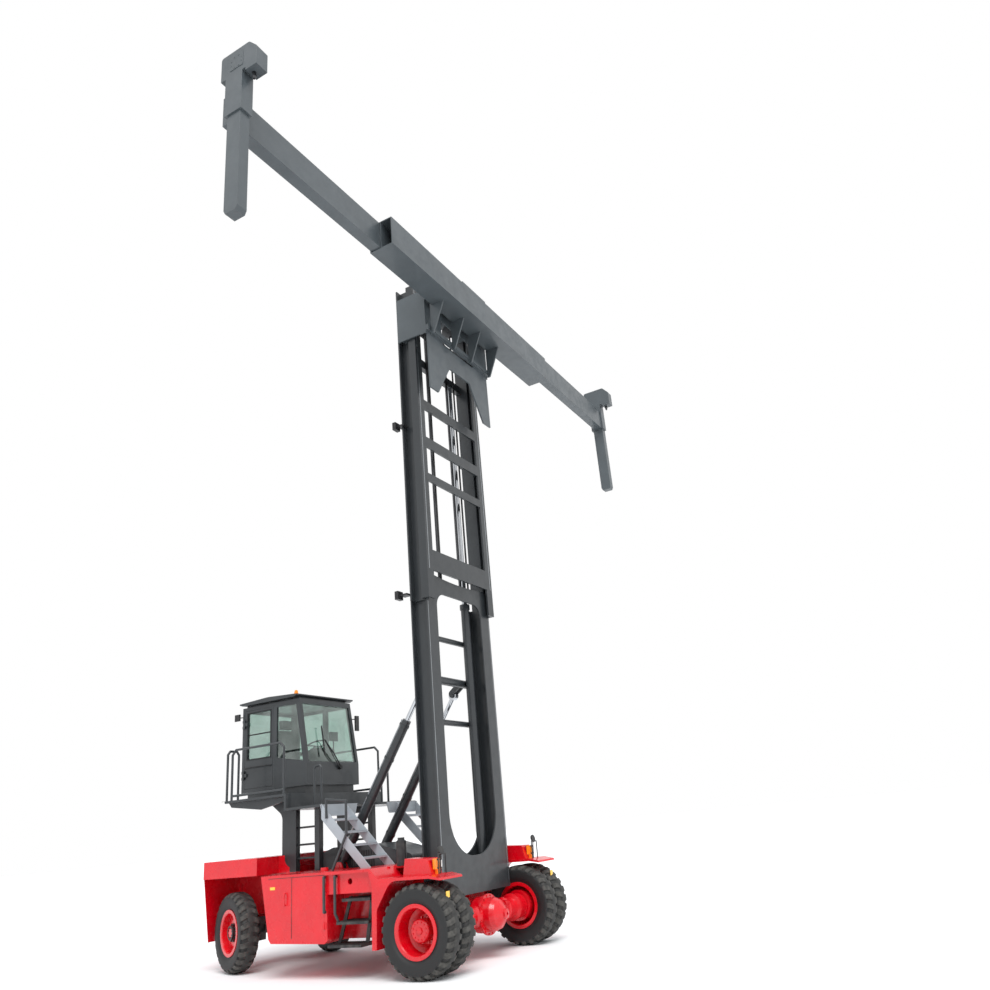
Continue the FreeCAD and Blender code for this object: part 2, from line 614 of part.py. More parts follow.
def cab():
    """Hollow cab with its windows cut, glazing, roof, seat and console, and a hinged door."""
    w = cab_wall
    head = cab_head_z
    outer = plate("xz", [(cab_rear_x, cab_floor_z), (cab_foot_front_x, cab_floor_z),
                         (cab_foot_front_x, cab_sill_z), (cab_head_front_x, head),
                         (cab_rear_x, head)], -cab_half, cab_half)
    inner = plate("xz", [(cab_rear_x + w, cab_floor_z + w), (cab_foot_front_x - w, cab_floor_z + w),
                         (cab_foot_front_x - w, cab_sill_z), (cab_head_front_x - w, head - w),
                         (cab_rear_x + w, head - w)], -cab_half + w, cab_half - w)
    shell = outer.cut(inner)
    sill, lintel = cab_sill_z + 30, head - 90
    low_x, high_x = slanted_front(0, sill, lintel)
    screen = box(high_x - 100, cab_foot_front_x + 50, -cab_half + 60, cab_half - 60, sill, lintel)
    side_view = [(door_front_x + pillar, door_sill_z - 45), (low_x - pillar, sill + 20),
                 (high_x - pillar, lintel), (door_front_x + pillar, lintel)]
    keep = plate("xz", side_view, -cab_half - 10, cab_half + 10)
    door_hole = box(door_rear_x, door_front_x, -cab_half - 10, -cab_half + w + 10,
                    cab_floor_z + 60, head - 60)
    far_window = box(door_rear_x + 40, door_front_x - 20, cab_half - w - 10, cab_half + 10,
                     door_sill_z, lintel)
    rear_window = box(cab_rear_x - 10, cab_rear_x + w + 10, -560, 560, door_sill_z, lintel)
    shell = shell.cut(screen.fuse([keep, door_hole, far_window, rear_window]))
    hinge_y = -cab_half - hinge_radius - hinge_gap
    ears = []
    for z in hinge_heights:
        for low in (z - 75, z + 30):
            ears.append(Part.makeCylinder(hinge_radius, 45, Vector(door_rear_x, hinge_y, low)))
            ears.append(box(door_rear_x - 50, door_rear_x - 6, hinge_y, -cab_half, low, low + 45))
            ears.append(box(door_rear_x - 20, door_rear_x, hinge_y - 8, hinge_y + 8, low, low + 45))
        ears.append(Part.makeCylinder(hinge_pin_radius, 150, Vector(door_rear_x, hinge_y, z - 75)))
    add("cab_shell", fused([shell] + ears))

    pane = 8
    front_low, front_high = slanted_front(20, sill, lintel)
    windscreen = plate("xz", [(front_low - pane, sill), (front_low, sill),
                              (front_high, lintel), (front_high - pane, lintel)],
                       -cab_half + 60, cab_half - 60)
    side_pane = plate("xz", side_view, -cab_half + 18, -cab_half + 18 + pane)
    far_pane = box(door_rear_x + 40, door_front_x - 20, cab_half - 18 - pane, cab_half - 18,
                   door_sill_z, lintel)
    rear_pane = box(cab_rear_x + 18, cab_rear_x + 18 + pane, -560, 560, door_sill_z, lintel)
    add("cab_glass", windscreen, side_pane, mirrored(side_pane), far_pane, rear_pane)

    crown_x = (cab_rear_x + cab_head_front_x) / 2
    roof = plate("xz", [(cab_rear_x - 10, roof_z + 25), (cab_rear_x + 60, roof_z),
                        (cab_head_front_x - 60, roof_z), (cab_head_front_x + 10, roof_z + 25),
                        (cab_head_front_x + 10, roof_z + 45), (crown_x, roof_z + 80, 900),
                        (cab_rear_x - 10, roof_z + 45)], -cab_half - 80, cab_half + 80)
    spacer = box(cab_rear_x + 40, cab_head_front_x - 60, -cab_half + 60, cab_half - 60, head, roof_z)
    add("cab_roof", fused([roof, spacer]))

    seat = [box(-3980, -3500, -240, 240, cab_floor_z + w + 330, cab_floor_z + w + 450),
            plate("xz", [(-4050, 3200), (-3930, 3200), (-4030, 3880, 40), (-4130, 3880, 40)],
                  -230, 230),
            box(-3900, -3580, -180, 180, cab_floor_z + w, cab_floor_z + w + 330)]
    console = plate("xz", [(-3330, cab_floor_z + w), (-3120, cab_floor_z + w), (-3120, 3480, 40),
                           (-3330, 3400, 30)], -260, 260)
    wheel = turned("z", Vector(0, 0, 0), [(-12, 182), (-12, 198), (0, 204), (12, 198), (12, 182), (0, 176)])
    wheel.rotate(Vector(0, 0, 0), Vector(0, 1, 0), -24)
    wheel.translate(Vector(-3370, 0, 3520))
    boss = rod((-3250, 0, 3300), (-3372, 0, 3522), 20)
    spoke = rod((-3372, -190, 3521), (-3372, 190, 3521), 10)
    add("cab_interior", fused(seat), fused([console, wheel, boss, spoke]))

    gap = 5
    d0, d1 = door_rear_x + gap, door_front_x - gap
    z0, z1 = cab_floor_z + 60 + gap, head - 60 - gap
    leaf = box(d0, d1, -cab_half, -cab_half + w, z0, z1)
    opening = box(d0 + 60, d1 - 60, -cab_half - 10, -cab_half + w + 10, door_sill_z, lintel - 30)
    leaf = leaf.cut(opening)
    straps = []
    for z in hinge_heights:
        low, tall = z - 30 + running_gap, 60 - 2 * running_gap
        straps.append(Part.makeCylinder(hinge_radius, tall, Vector(door_rear_x, hinge_y, low)))
        straps.append(box(door_rear_x, door_rear_x + 70, hinge_y - 2, -cab_half, low, low + tall))
    leaf = fused([leaf] + straps)
    for z in hinge_heights:
        leaf = leaf.cut(Part.makeCylinder(hinge_pin_radius + running_gap, 200,
                                          Vector(door_rear_x, hinge_y, z - 100)))
    add("door_leaf", leaf)
    add("door_glass", box(d0 + 60, d1 - 60, -cab_half + 18, -cab_half + 18 + pane,
                          door_sill_z, lintel - 30))


def lamps_and_mirrors():
    """Beacon, mirrors at the cab and lamp clusters with their guards on the front fenders."""
    top = fender_top_z
    lamps = []
    fittings = []
    for side in (-1, 1):
        y = side * 1400
        lamps.append(fused([box(130, 200, y - 60, y + 10, top + 60, top + 200),
                            box(130, 200, y + 10, y + 60, top + 60, top + 200),
                            box(140, 190, y - 20, y + 20, top, top + 60)]))
        fittings.append(bent_tube([(250, y - 90, top), (250, y - 90, top + 260),
                                   (250, y + 90, top + 260), (250, y + 90, top)], 9))
        stalk = rod((216, y, top - 5), (235, y, top + 300), 9).cut(nodes["fenders"])
        glass = rod((225, y, top + 300), (250, y, top + 305), 60)
        fittings.append(fused([stalk, glass]))
    beacon = turned("z", Vector(cab_head_front_x - 140, -cab_half + 70, roof_z + 50), [
        (-20, 0), (-20, 38), (30, 38), (70, 30), (85, 20), (85, 0)])
    beacon = beacon.cut(nodes["cab_roof"])
    add("lamps", *(lamps + [beacon]))
    rear_arm = rod((cab_rear_x + 10, -cab_half + 5, 4140), (cab_rear_x - 90, -cab_half - 40, 4140), 9)
    rear_glass = box(cab_rear_x - 150, cab_rear_x - 30, -cab_half - 60, -cab_half - 30, 4080, 4200)
    front_arm = rod((-3120, cab_half - 5, 4000), (-3000, cab_half + 60, 4000), 9)
    front_glass = box(-3015, -2985, cab_half + 30, cab_half + 130, 3780, 4060)
    for arm, glass in ((rear_arm, rear_glass), (front_arm, front_glass)):
        fittings.append(fused([arm.cut(nodes["cab_shell"]), glass]))
    add("guards_and_mirrors", *fittings)


def fixed_mast():
    """Outward-open columns under one front plate with a tall window, and cross tubes behind it."""
    p = mast_plate
    column = [(mast_rear_x, column_inner), (mast_rear_x, column_outer),
              (mast_rear_x + p, column_outer), (mast_rear_x + p, column_web + p),
              (mast_front_x - p, column_web + p), (mast_front_x - p, column_outer),
              (mast_front_x, column_outer), (mast_front_x, column_inner),
              (mast_front_x - p, column_inner), (mast_front_x - p, column_web),
              (mast_rear_x + p, column_web), (mast_rear_x + p, column_inner)]
    left = plate("xy", column, mast_foot_z, window_high_z)
    arc_mid = Vector(mast_front_x - p, 0, mast_mid_top_z)
    side_top = [Vector(mast_front_x - p, s * column_outer, mast_side_top_z) for s in (-1, 1)]
    foot = [Vector(mast_front_x - p, s * column_outer, mast_foot_z) for s in (-1, 1)]
    face = Part.Wire([
        Part.LineSegment(foot[1], foot[0]).toShape(), Part.LineSegment(foot[0], side_top[0]).toShape(),
        Part.Arc(side_top[0], arc_mid, side_top[1]).toShape(),
        Part.LineSegment(side_top[1], foot[1]).toShape()])
    front = Part.Face(face).extrude(Vector(p, 0, 0))
    inner = column_inner
    window = plate("yz", [(-inner, window_high_z, 230), (-inner, window_low_z, inner - 60),
                          (inner, window_low_z, inner - 60), (inner, window_high_z, 230)],
                   mast_rear_x - 10, mast_front_x + 10)
    rear = plate("yz", [(-column_outer, mast_foot_z), (column_outer, mast_foot_z),
                        (column_outer, 2400), (-column_outer, 2400)], mast_rear_x, mast_rear_x + p)
    floor = box(mast_rear_x, mast_front_x, -column_web, column_web, mast_foot_z, mast_foot_z + p)
    tubes = []
    for z in (3540, 4950):
        tubes.append(rod((mast_rear_x - 30, -column_inner - 60, z),
                         (mast_rear_x - 30, column_inner + 60, z), 48))
    tubes.append(rod((torque_tube_x, -column_inner - 100, torque_tube_z),
                     (torque_tube_x, column_inner + 100, torque_tube_z), 70))
    ears = []
    for side in (-1, 1):
        ears.append(plate("xz", [(mast_rear_x, 1200), (mast_pivot_x - 60, 1100, 60),
                                 (mast_pivot_x - 60, 930, 60), (mast_rear_x, mast_foot_z)],
                          side * (frame_outer_y + 30), side * (frame_outer_y + 100)))
    clevises = []
    for y in (-tilt_y, tilt_y):
        for gap in (-62, 62):
            clevises.append(plate("xz", [
                (torque_tube_x, torque_tube_z - 60), (tilt_clevis_x - 50, tilt_clevis_z - 50, 38),
                (tilt_clevis_x - 50, tilt_clevis_z + 60, 45), (torque_tube_x, torque_tube_z + 60)],
                y + gap - 12, y + gap + 12))
        clevises.append(rod((tilt_clevis_x, y - 80, tilt_clevis_z),
                            (tilt_clevis_x, y + 80, tilt_clevis_z), tilt_pin_radius))
    mast = fused([left, mirrored(left), front.cut(window), rear.cut(window), floor] + tubes + clevises)
    mast = fused([mast] + ears)
    for side in (-1, 1):
        mast = mast.cut(rod((mast_pivot_x, 0, mast_pivot_z), (mast_pivot_x, side * 900, mast_pivot_z),
                            45 + running_gap))
    add("mast_fixed", mast)

    barrels = []
    for y in (-lift_cylinder_y, lift_cylinder_y):
        barrel = turned("z", Vector(lift_cylinder_x, y, 0), [
            (mast_foot_z + p, 0), (mast_foot_z + p, lift_barrel_radius), (5560, lift_barrel_radius),
            (5560, lift_barrel_radius + 15), (5650, lift_barrel_radius + 15),
            (5650, lift_rod_radius + running_gap), (lift_bore_low_z, lift_rod_radius + running_gap),
            (lift_bore_low_z, 0)])
        barrels.append(barrel)
    add("lift_barrels", *barrels)


def moving_mast():
    """Raised stage: outward-open rails that nest in the fixed columns, with beams ahead of them."""
    section = [(-335, rail_web), (-335, rail_outer), (-305, rail_outer), (-305, rail_web + 25),
               (-105, rail_web + 25), (-105, rail_outer), (45, rail_outer), (45, 860), (10, 860),
               (10, column_outer + 10), (-75, column_outer + 10), (-75, rail_web)]
    left = plate("xy", section, rail_low_z, rail_high_z)
    beams = [box(5, 45, -880, 880, 5940, 6300)]
    for z, height in ((7650, 150), (8330, 200), (9080, 190), (10650, 200)):
        beams.append(box(8, 45, -880, 880, z - height / 2, z + height / 2))
    crosshead_z = 10150
    crosshead = box(-330, -230, -rail_web - 5, rail_web + 5, crosshead_z, crosshead_z + 170)
    top = box(-300, 40, -rail_web - 5, rail_web + 5, rail_high_z - 60, rail_high_z)
    add("mast_moving", fused([left, mirrored(left), crosshead, top] + beams))

    rod_low_z = lift_bore_low_z + lift_stroke + lift_reserve
    rods = [rod((lift_cylinder_x, y, rod_low_z), (lift_cylinder_x, y, crosshead_z), lift_rod_radius)
            for y in (-lift_cylinder_y, lift_cylinder_y)]
    add("lift_rods", *rods)

    radius = (chain_front_x - chain_rear_x) / 2
    middle = (chain_front_x + chain_rear_x) / 2
    sheave_z = rail_high_z - 60 - radius - 60
    chains = []
    for y in (-chain_y, chain_y):
        sheave = turned("y", Vector(middle, y, sheave_z), [(-30, 20), (-30, radius), (30, radius), (30, 20)])
        rear = box(chain_rear_x - 15, chain_rear_x + 15, y - 25, y + 25, 5700, sheave_z)
        front = box(chain_front_x - 15, chain_front_x + 15, y - 25, y + 25, carriage_top_z - 300, sheave_z)
        hanger = box(middle - 20, middle + 20, y - 45, y - 31, sheave_z - 40, rail_high_z - 60)
        pin = rod((middle, y - 45, sheave_z), (middle, y + 35, sheave_z), 20)
        chains.append(fused([sheave, rear, front, hanger, pin]))
    add("lift_chains", *chains)


def tilt_cylinders():
    """Tilt barrel from an eye on the frame, rod to the mast's clevis, on both sides."""
    eye = Vector(tilt_eye_x, 0, tilt_eye_z)
    clevis = Vector(tilt_clevis_x, 0, tilt_clevis_z)
    along = (clevis - eye).normalize()
    length = (clevis - eye).Length
    gland = eye + along * (length * (1 - tilt_rod_share))
    for side, name in ((-1, "right"), (1, "left")):
        shift = Vector(0, side * tilt_y, 0)
        start, end, top = eye + shift, gland + shift, clevis + shift
        across = Vector(0, 45, 0)
        bore = tilt_pin_radius + running_gap
        barrel = Part.makeCylinder(tilt_barrel_radius, (end - start).Length - 140,
                                   start + along * 140, along)
        neck = Part.makeCylinder(42, 150, start, along)
        lug = Part.makeCylinder(75, 90, start - across, Vector(0, 1, 0))
        barrel = fused([barrel, neck, lug])
        barrel = barrel.cut(Part.makeCylinder(bore, 90, start - across, Vector(0, 1, 0)))
        barrel = barrel.cut(Part.makeCylinder(tilt_rod_radius + running_gap, length, start + along * tilt_bore_start,
                                              along))
        add("tilt_barrel_" + name, barrel)
        piston = Part.makeCylinder(tilt_rod_radius, (top - start).Length - tilt_rod_start,
                                   start + along * tilt_rod_start, along)
        rod_eye = Part.makeCylinder(75, 90, top - across, Vector(0, 1, 0))
        piston = fused([piston, rod_eye])
        piston = piston.cut(Part.makeCylinder(tilt_pin_radius + tilt_eye_play, 90, top - across,
                                              Vector(0, 1, 0)))
        add("tilt_rod_" + name, piston)


def carriage():
    """Front plate with notched foot, side arms with rollers in the moving rails, shift rails."""
    x0, x1 = carriage_x, carriage_x + carriage_plate
    half = carriage_half
    face = plate("yz", [
        (-half, carriage_corner_z), (-half + 260, carriage_corner_z), (-350, carriage_mid_z),
        (350, carriage_mid_z), (half - 260, carriage_corner_z), (half, carriage_corner_z),
        (half, carriage_arm_z), (carriage_arm_y + 30, carriage_arm_z),
        (carriage_arm_y + 30, carriage_top_z), (-carriage_arm_y - 30, carriage_top_z),
        (-carriage_arm_y - 30, carriage_arm_z), (-half, carriage_arm_z)], x0, x1)
    window = plate("yz", [(-560, carriage_arm_z, 60), (560, carriage_arm_z, 60), (560, 10900, 60), (-560, 10900, 60)],
                   x0 - 5, x1 + 5)
    pieces = [face.cut(window)]
    for side in (-1, 1):
        y = side * carriage_arm_y
        pieces.append(box(-300, x1, y, y + side * 30, carriage_arm_z, carriage_top_z))
        for z in (carriage_arm_z + 130, carriage_top_z - 130):
            pieces.append(rod((-205, side * (rail_web + 25 + clearance), z), (-205, y + side * 5, z), 100 - running_gap))
        rib_y = side * 700
        pieces.append(box(x0 - 90, x0, rib_y, rib_y + side * 20, carriage_corner_z + 900, carriage_top_z))
    for z in shift_rail_z:
        pieces.append(box(x1, x1 + 60, -carriage_arm_y - 30, carriage_arm_y + 30, z, z + shift_rail_height))
    for y in (-chain_y, chain_y):
        pieces.append(box(chain_front_x - 35, x0, y - 50, y + 50, carriage_top_z - 340,
                          carriage_top_z - 300 - running_gap))
    add("carriage", fused(pieces))


def spreader():
    """Centre frame that shifts on the carriage, two telescopic beams, end heads with legs."""
    x0, x1 = frame_x
    z0, z1 = frame_z
    spreader_half = lock_y + head_half_width
    mid = (x0 + x1) / 2
    w = frame_wall
    outer = box(x0, x1, -frame_half, frame_half, z0, z1)
    bores = [box(x0 + w, mid - w / 2, -frame_half - 5, frame_half + 5, z0 + w, z1 - w),
             box(mid + w / 2, x1 - w, -frame_half - 5, frame_half + 5, z0 + w, z1 - w)]
    hooks = []
    rail_x = carriage_x + carriage_plate + 60
    for y in (-1000, -300, 300, 1000):
        low_z, high_z = shift_rail_z
        hooks.append(plate("xz", [
            (rail_x + clearance, low_z - 60), (rail_x + 60, low_z - 60), (x1 - 200, z0 + 5),
            (x1 - 200, z1 - 60), (x0, z1 - 60), (rail_x + clearance, high_z + 200)],
            y - 15, y + 15))
    pads = []
    for z in shift_rail_z:
        pads.append(box(rail_x + running_gap, rail_x + clearance + 10, -1000, 1000, z + 20, z + 90))
    add("spreader_frame", fused([outer] + hooks + pads).cut(bores[0]).cut(bores[1]))

    gap = 6
    for side, name in ((-1, "right"), (1, "left")):
        if side < 0:
            b0, b1 = x0 + w + gap, mid - w / 2 - gap
        else:
            b0, b1 = mid + w / 2 + gap, x1 - w - gap
        bz0, bz1 = z0 + w + gap, z1 - w - gap
        y_in, y_out = side * beam_inner_end, side * (spreader_half - head_half_width)
        beam = box(b0, b1, y_in, y_out, bz0, bz1)
        t = beam_wall
        hollow = box(b0 + t, b1 - t, y_in - side * 5, y_out - side * 150, bz0 + t, bz1 - t)
        beam = beam.cut(hollow)
        shoe = box(b0 + 40, b1 - 40, y_in, side * (beam_inner_end + 200), bz0 - gap + running_gap, bz0)
        y_a = side * (spreader_half - 2 * head_half_width)
        y_b = side * spreader_half
        head = plate("xz", [
            (head_rear_x, head_low_z), (head_rear_x, head_top_z, 40), (head_front_x, head_top_z, 60),
            (hook_tip_x, head_top_z - 160, 20), (hook_tip_x, hook_low_z), (head_front_x - 60, hook_low_z),
            (head_front_x - 60, head_low_z)], min(y_a, y_b), max(y_a, y_b))
        neck = box(head_rear_x + 90, head_front_x - 120, y_a, y_b, bz0, head_low_z)
        leg = plate("xz", [(640, leg_low_z + 60), (640, bz0), (880, bz0), (880, leg_low_z + 60),
                           (850, leg_low_z), (670, leg_low_z)], min(y_a, y_b) + 20, max(y_a, y_b) - 20)
        add("beam_" + name, fused([beam, shoe, head, neck, leg]))
        lock = turned("z", Vector(lock_x, side * lock_y, hook_low_z - 110),
                      [(0, 0), (0, 16), (35, lock_radius), (110, lock_radius), (110, 0)])
        add("lock_pin_" + name, lock)


def export_nodes():
    """Write each node as one STEP file, with the origin below the middle of the machine."""
    os.makedirs("parts", exist_ok=True)
    shift = Vector(-(tail_x + hook_tip_x) / 2, 0, 0)
    for name, shape in nodes.items():
        shape.translate(shift)
        shape.exportStep(os.path.join("parts", name + ".step"))


drive_axle()
steer_axle()
for wheel_side in (-1, 1):
    front_wheel(wheel_side)
    rear_wheel(wheel_side)
chassis_frame()
counterweight()
side_tanks()
fenders()
entry_steps()
engine_and_hood()
cab_support()
walkways()
railings()
cab()
lamps_and_mirrors()
fixed_mast()
moving_mast()
tilt_cylinders()
carriage()
spreader()
export_nodes()
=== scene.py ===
import json
import math

import bmesh
import bpy
import numpy as np
from mathutils import Matrix, Vector


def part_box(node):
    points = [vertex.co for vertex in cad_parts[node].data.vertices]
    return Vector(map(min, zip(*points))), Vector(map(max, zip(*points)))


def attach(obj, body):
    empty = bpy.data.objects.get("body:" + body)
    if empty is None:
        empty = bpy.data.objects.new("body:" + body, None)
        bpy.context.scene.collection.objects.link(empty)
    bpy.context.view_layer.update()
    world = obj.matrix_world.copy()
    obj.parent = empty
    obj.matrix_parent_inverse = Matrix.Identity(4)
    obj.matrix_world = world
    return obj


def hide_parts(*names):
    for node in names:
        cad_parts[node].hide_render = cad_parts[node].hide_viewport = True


# Looks of the empty container handler. Metres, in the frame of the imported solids. Places along X
# are given from the drive axle, as in the part's source, and machine() moves them into the frame.

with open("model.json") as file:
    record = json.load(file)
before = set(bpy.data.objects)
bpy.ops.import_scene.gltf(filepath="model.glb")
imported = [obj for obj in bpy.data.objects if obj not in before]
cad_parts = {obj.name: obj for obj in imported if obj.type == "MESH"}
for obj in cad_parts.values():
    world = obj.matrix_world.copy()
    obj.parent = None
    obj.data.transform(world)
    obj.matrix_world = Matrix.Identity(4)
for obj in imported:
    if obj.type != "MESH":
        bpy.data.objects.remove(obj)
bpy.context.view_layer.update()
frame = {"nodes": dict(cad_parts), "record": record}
joints = {j["name"]: j for j in frame["record"]["behaviour"]["joints"]}
axle_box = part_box("tyres_front_right")
AXLE_X = (axle_box[0][0] + axle_box[1][0]) / 2

# Camera, fitted to the photograph
CAMERA_PLACE = (9.2515, -11.912, 1.8437)
CAMERA_YAW, CAMERA_PITCH, CAMERA_ROLL = 117.70, 20.61, -5.43
CAMERA_LENS = 29.95
CAMERA_SHIFT = (-0.0147, 0.0195)

# Tyres
TYRE_HALF = 0.1625
TYRE_RADIUS = 0.605
TYRE_HEIGHT = 0.127
TYRE_SPAN = math.radians(129)
BEAD_HALF, BEAD_RADIUS, FLANGE_RADIUS = 0.1250, 0.3060, 0.3532
LUGS = 26
LUG_DEPTH = 0.024
LUG_SWEEP = 0.35
GROOVE_SHARE, GROOVE_FLANK = 0.38, 0.12
CENTRE_RIB_HALF, CENTRE_RIB_FLANK = 0.042, 0.010
SHOULDER_END, SHOULDER_FLANK = math.radians(74), 0.16
WALL_RING_HEIGHT, WALL_RING_RATE, WALL_RING_START = 0.0015, 60, math.radians(86)
CROWN_WEAR, CROWN_END = 0.35, 1.0
TWIN_HALF = 0.181
AROUND, ACROSS = 780, 46

# Tread plates: step between studs and size of each
PLATE_STEP, PLATE_STUD = 0.055, (0.030, 0.010, 0.005)
STAIR_STEP, STAIR_TOOTH = 0.03, (0.012, 0.012, 0.008)
ENTRY_STEP, ENTRY_TOOTH = 0.035, (0.014, 0.014, 0.008)

# Meshes and finishes
SHARP_DEG = 35
CURVE_SAMPLES = 8
PAINT_IOR = 1.5
BOLT_SEAT = 0.004


def machine(x, y, z):
    """Point in the frame from a place measured from the drive axle."""
    return np.array([x + AXLE_X, y, z], dtype=float)


def unit(v):
    """Vector of length one."""
    v = np.asarray(v, dtype=float)
    return v / np.linalg.norm(v, axis=-1, keepdims=True)


def smooth_step(v):
    """0 below 0, 1 above 1 and v squared times (3 - 2 v) between."""
    v = np.clip(v, 0, 1)
    return v * v * (3 - 2 * v)


def across(direction):
    """Two unit vectors square to a direction and to each other."""
    d = unit(direction)
    helper = np.array([1.0, 0, 0]) if abs(d[0]) < 0.8 else np.array([0, 1.0, 0])
    u = unit(np.cross(d, helper))
    return u, np.cross(d, u)


def blocks(centres, sizes, turn=None):
    """Boxes: centre plus or minus half the size along each axis of turn's rows."""
    centres = np.atleast_2d(np.asarray(centres, dtype=float))
    sizes = np.broadcast_to(np.asarray(sizes, dtype=float), centres.shape)
    signs = np.array([[-1, -1, -1], [1, -1, -1], [1, 1, -1], [-1, 1, -1],
                      [-1, -1, 1], [1, -1, 1], [1, 1, 1], [-1, 1, 1]]) / 2
    corners = signs[None] * sizes[:, None]
    if turn is not None:
        corners = corners @ np.asarray(turn)
    verts = (centres[:, None] + corners).reshape(-1, 3)
    quads = np.array([[0, 3, 2, 1], [4, 5, 6, 7], [0, 1, 5, 4], [1, 2, 6, 5], [2, 3, 7, 6], [3, 0, 4, 7]])
    faces = (np.arange(len(centres))[:, None, None] * 8 + quads[None]).reshape(-1, 4)
    return verts, [faces]


def spans(lows, highs):
    """Boxes between opposite corners."""
    lows, highs = np.atleast_2d(lows).astype(float), np.atleast_2d(highs).astype(float)
    return blocks((lows + highs) / 2, np.abs(highs - lows))


def bars(starts, ends, radius, sides=16):
    """Round bars: a ring start + radius (cos a u + sin a v) at each end, closed by flat caps."""
    starts = np.atleast_2d(starts).astype(float)
    ends = np.broadcast_to(np.atleast_2d(ends).astype(float), starts.shape)
    angle = np.arange(sides) * 2 * np.pi / sides
    rings = []
    for start, end in zip(starts, ends):
        u, v = across(end - start)
        ring = radius * (np.cos(angle)[:, None] * u + np.sin(angle)[:, None] * v)
        rings.append(np.concatenate([start + ring, end + ring]))
    k = np.arange(sides)
    n = (k + 1) % sides
    quads = np.stack([k, n, n + sides, k + sides], 1)
    shift = np.arange(len(starts))[:, None, None] * 2 * sides
    caps = np.stack([k[::-1], k + sides])
    walls = (quads[None] + shift).reshape(-1, 4)
    return np.concatenate(rings), [walls, (caps[None] + shift).reshape(-1, sides)]


def bolts(centre, axis, circle, count, head, height, sides=6):
    """Ring of bolt heads on a flat face."""
    axis = unit(axis)
    u, v = across(axis)
    angle = (np.arange(count) + 0.5) * 2 * np.pi / count
    feet = np.asarray(centre) + circle * (np.cos(angle)[:, None] * u + np.sin(angle)[:, None] * v)
    return bars(feet - axis * BOLT_SEAT, feet + axis * height, head, sides)


def lathe(centre, axis, profile, steps=48):
    """Closed outline of (along, radius) turned about an axis d, with u and v square to it:
    centre + along d + radius (cos a u + sin a v)."""
    profile = np.asarray(profile, dtype=float)
    axis = unit(axis)
    u, v = across(axis)
    angle = np.arange(steps) * 2 * np.pi / steps
    spokes = np.cos(angle)[:, None] * u + np.sin(angle)[:, None] * v
    verts = np.asarray(centre) + profile[None, :, :1] * axis + profile[None, :, 1:] * spokes[:, None]
    return verts.reshape(-1, 3), [grid_faces(steps, len(profile))]


def grid_faces(rows, columns, close_rows=True):
    """Quads of a grid whose columns close on themselves."""
    r = np.arange(rows if close_rows else rows - 1)[:, None]
    c = np.arange(columns)[None, :]
    r2, c2 = (r + 1) % rows, (c + 1) % columns
    corners = [r * columns + c, r2 * columns + c, r2 * columns + c2, r * columns + c2]
    return np.stack(corners, -1).reshape(-1, 4)


def curve(points):
    """Catmull-Rom curve through the points. Between b and c, with neighbours a and d and t from 0
    to 1, it is half of 2b + (c - a) t + (2a - 5b + 4c - d) t^2 + (3b - a - 3c + d) t^3."""
    p = np.asarray(points, dtype=float)
    p = np.vstack([2 * p[0] - p[1], p, 2 * p[-1] - p[-2]])
    t = np.linspace(0, 1, CURVE_SAMPLES, endpoint=False)[None, :, None]
    a, b, c, d = (p[i:len(p) - 3 + i, None] for i in range(4))
    stretch = 0.5 * (2 * b + (c - a) * t + (2 * a - 5 * b + 4 * c - d) * t ** 2
                     + (3 * b - a - 3 * c + d) * t ** 3)
    return np.vstack([stretch.reshape(-1, 3), p[-2]])


def tube(points, radius, sides=10):
    """Hose or pipe: a circle carried along the path, square to it, with flat ends."""
    path = curve(points)
    way = unit(np.gradient(path, axis=0))
    u = np.zeros_like(path)
    u[0] = across(way[0])[0]
    for i in range(1, len(path)):
        u[i] = unit(u[i - 1] - way[i] * np.dot(u[i - 1], way[i]))
    v = np.cross(way, u)
    angle = np.arange(sides) * 2 * np.pi / sides
    verts = path[:, None] + radius * (np.cos(angle)[None, :, None] * u[:, None]
                                      + np.sin(angle)[None, :, None] * v[:, None])
    faces = grid_faces(len(path), sides, close_rows=False)
    caps = np.stack([np.arange(sides)[::-1], np.arange(sides) + (len(path) - 1) * sides])
    return verts.reshape(-1, 3), [faces, caps]


def mirrored(part):
    """Copy on the machine's other side."""
    verts, faces = part
    return verts * [1, -1, 1], faces


def both(parts):
    """A part or list of parts, then their copies on the machine's other side."""
    parts = parts if isinstance(parts, list) else [parts]
    return parts + [mirrored(part) for part in parts]


def pattern(x_range, y_range, z, step, size):
    """Blocks in rows and columns one step apart, centred at height z."""
    x, y = np.meshgrid(np.arange(*x_range, step), np.arange(*y_range, step))
    return blocks(np.stack([x.ravel() + AXLE_X, y.ravel(), np.full(x.size, z)], 1), size)


def piece(name, parts, material, body, values=None):
    """One object from parts: faces turned outwards, round stretches smooth, riding on a body."""
    parts = parts if isinstance(parts, list) else [parts]
    verts, faces, shift = [], [], 0
    for part_verts, part_faces in parts:
        verts.append(part_verts)
        for group in part_faces:
            faces += (np.asarray(group) + shift).tolist()
        shift += len(part_verts)
    mesh = bpy.data.meshes.new(name)
    mesh.from_pydata(np.concatenate(verts).tolist(), [], faces)
    work = bmesh.new()
    work.from_mesh(mesh)
    bmesh.ops.recalc_face_normals(work, faces=work.faces)
    work.to_mesh(mesh)
    work.free()
    mesh.shade_smooth()
    mesh.set_sharp_from_angle(angle=math.radians(SHARP_DEG))
    if values is not None:
        mesh.attributes.new("wear", "FLOAT", "POINT").data.foreach_set("value", values)
    mesh.materials.append(material)
    made = bpy.data.objects.new(name, mesh)
    bpy.context.scene.collection.objects.link(made)
    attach(made, body)
    return made


# Materials


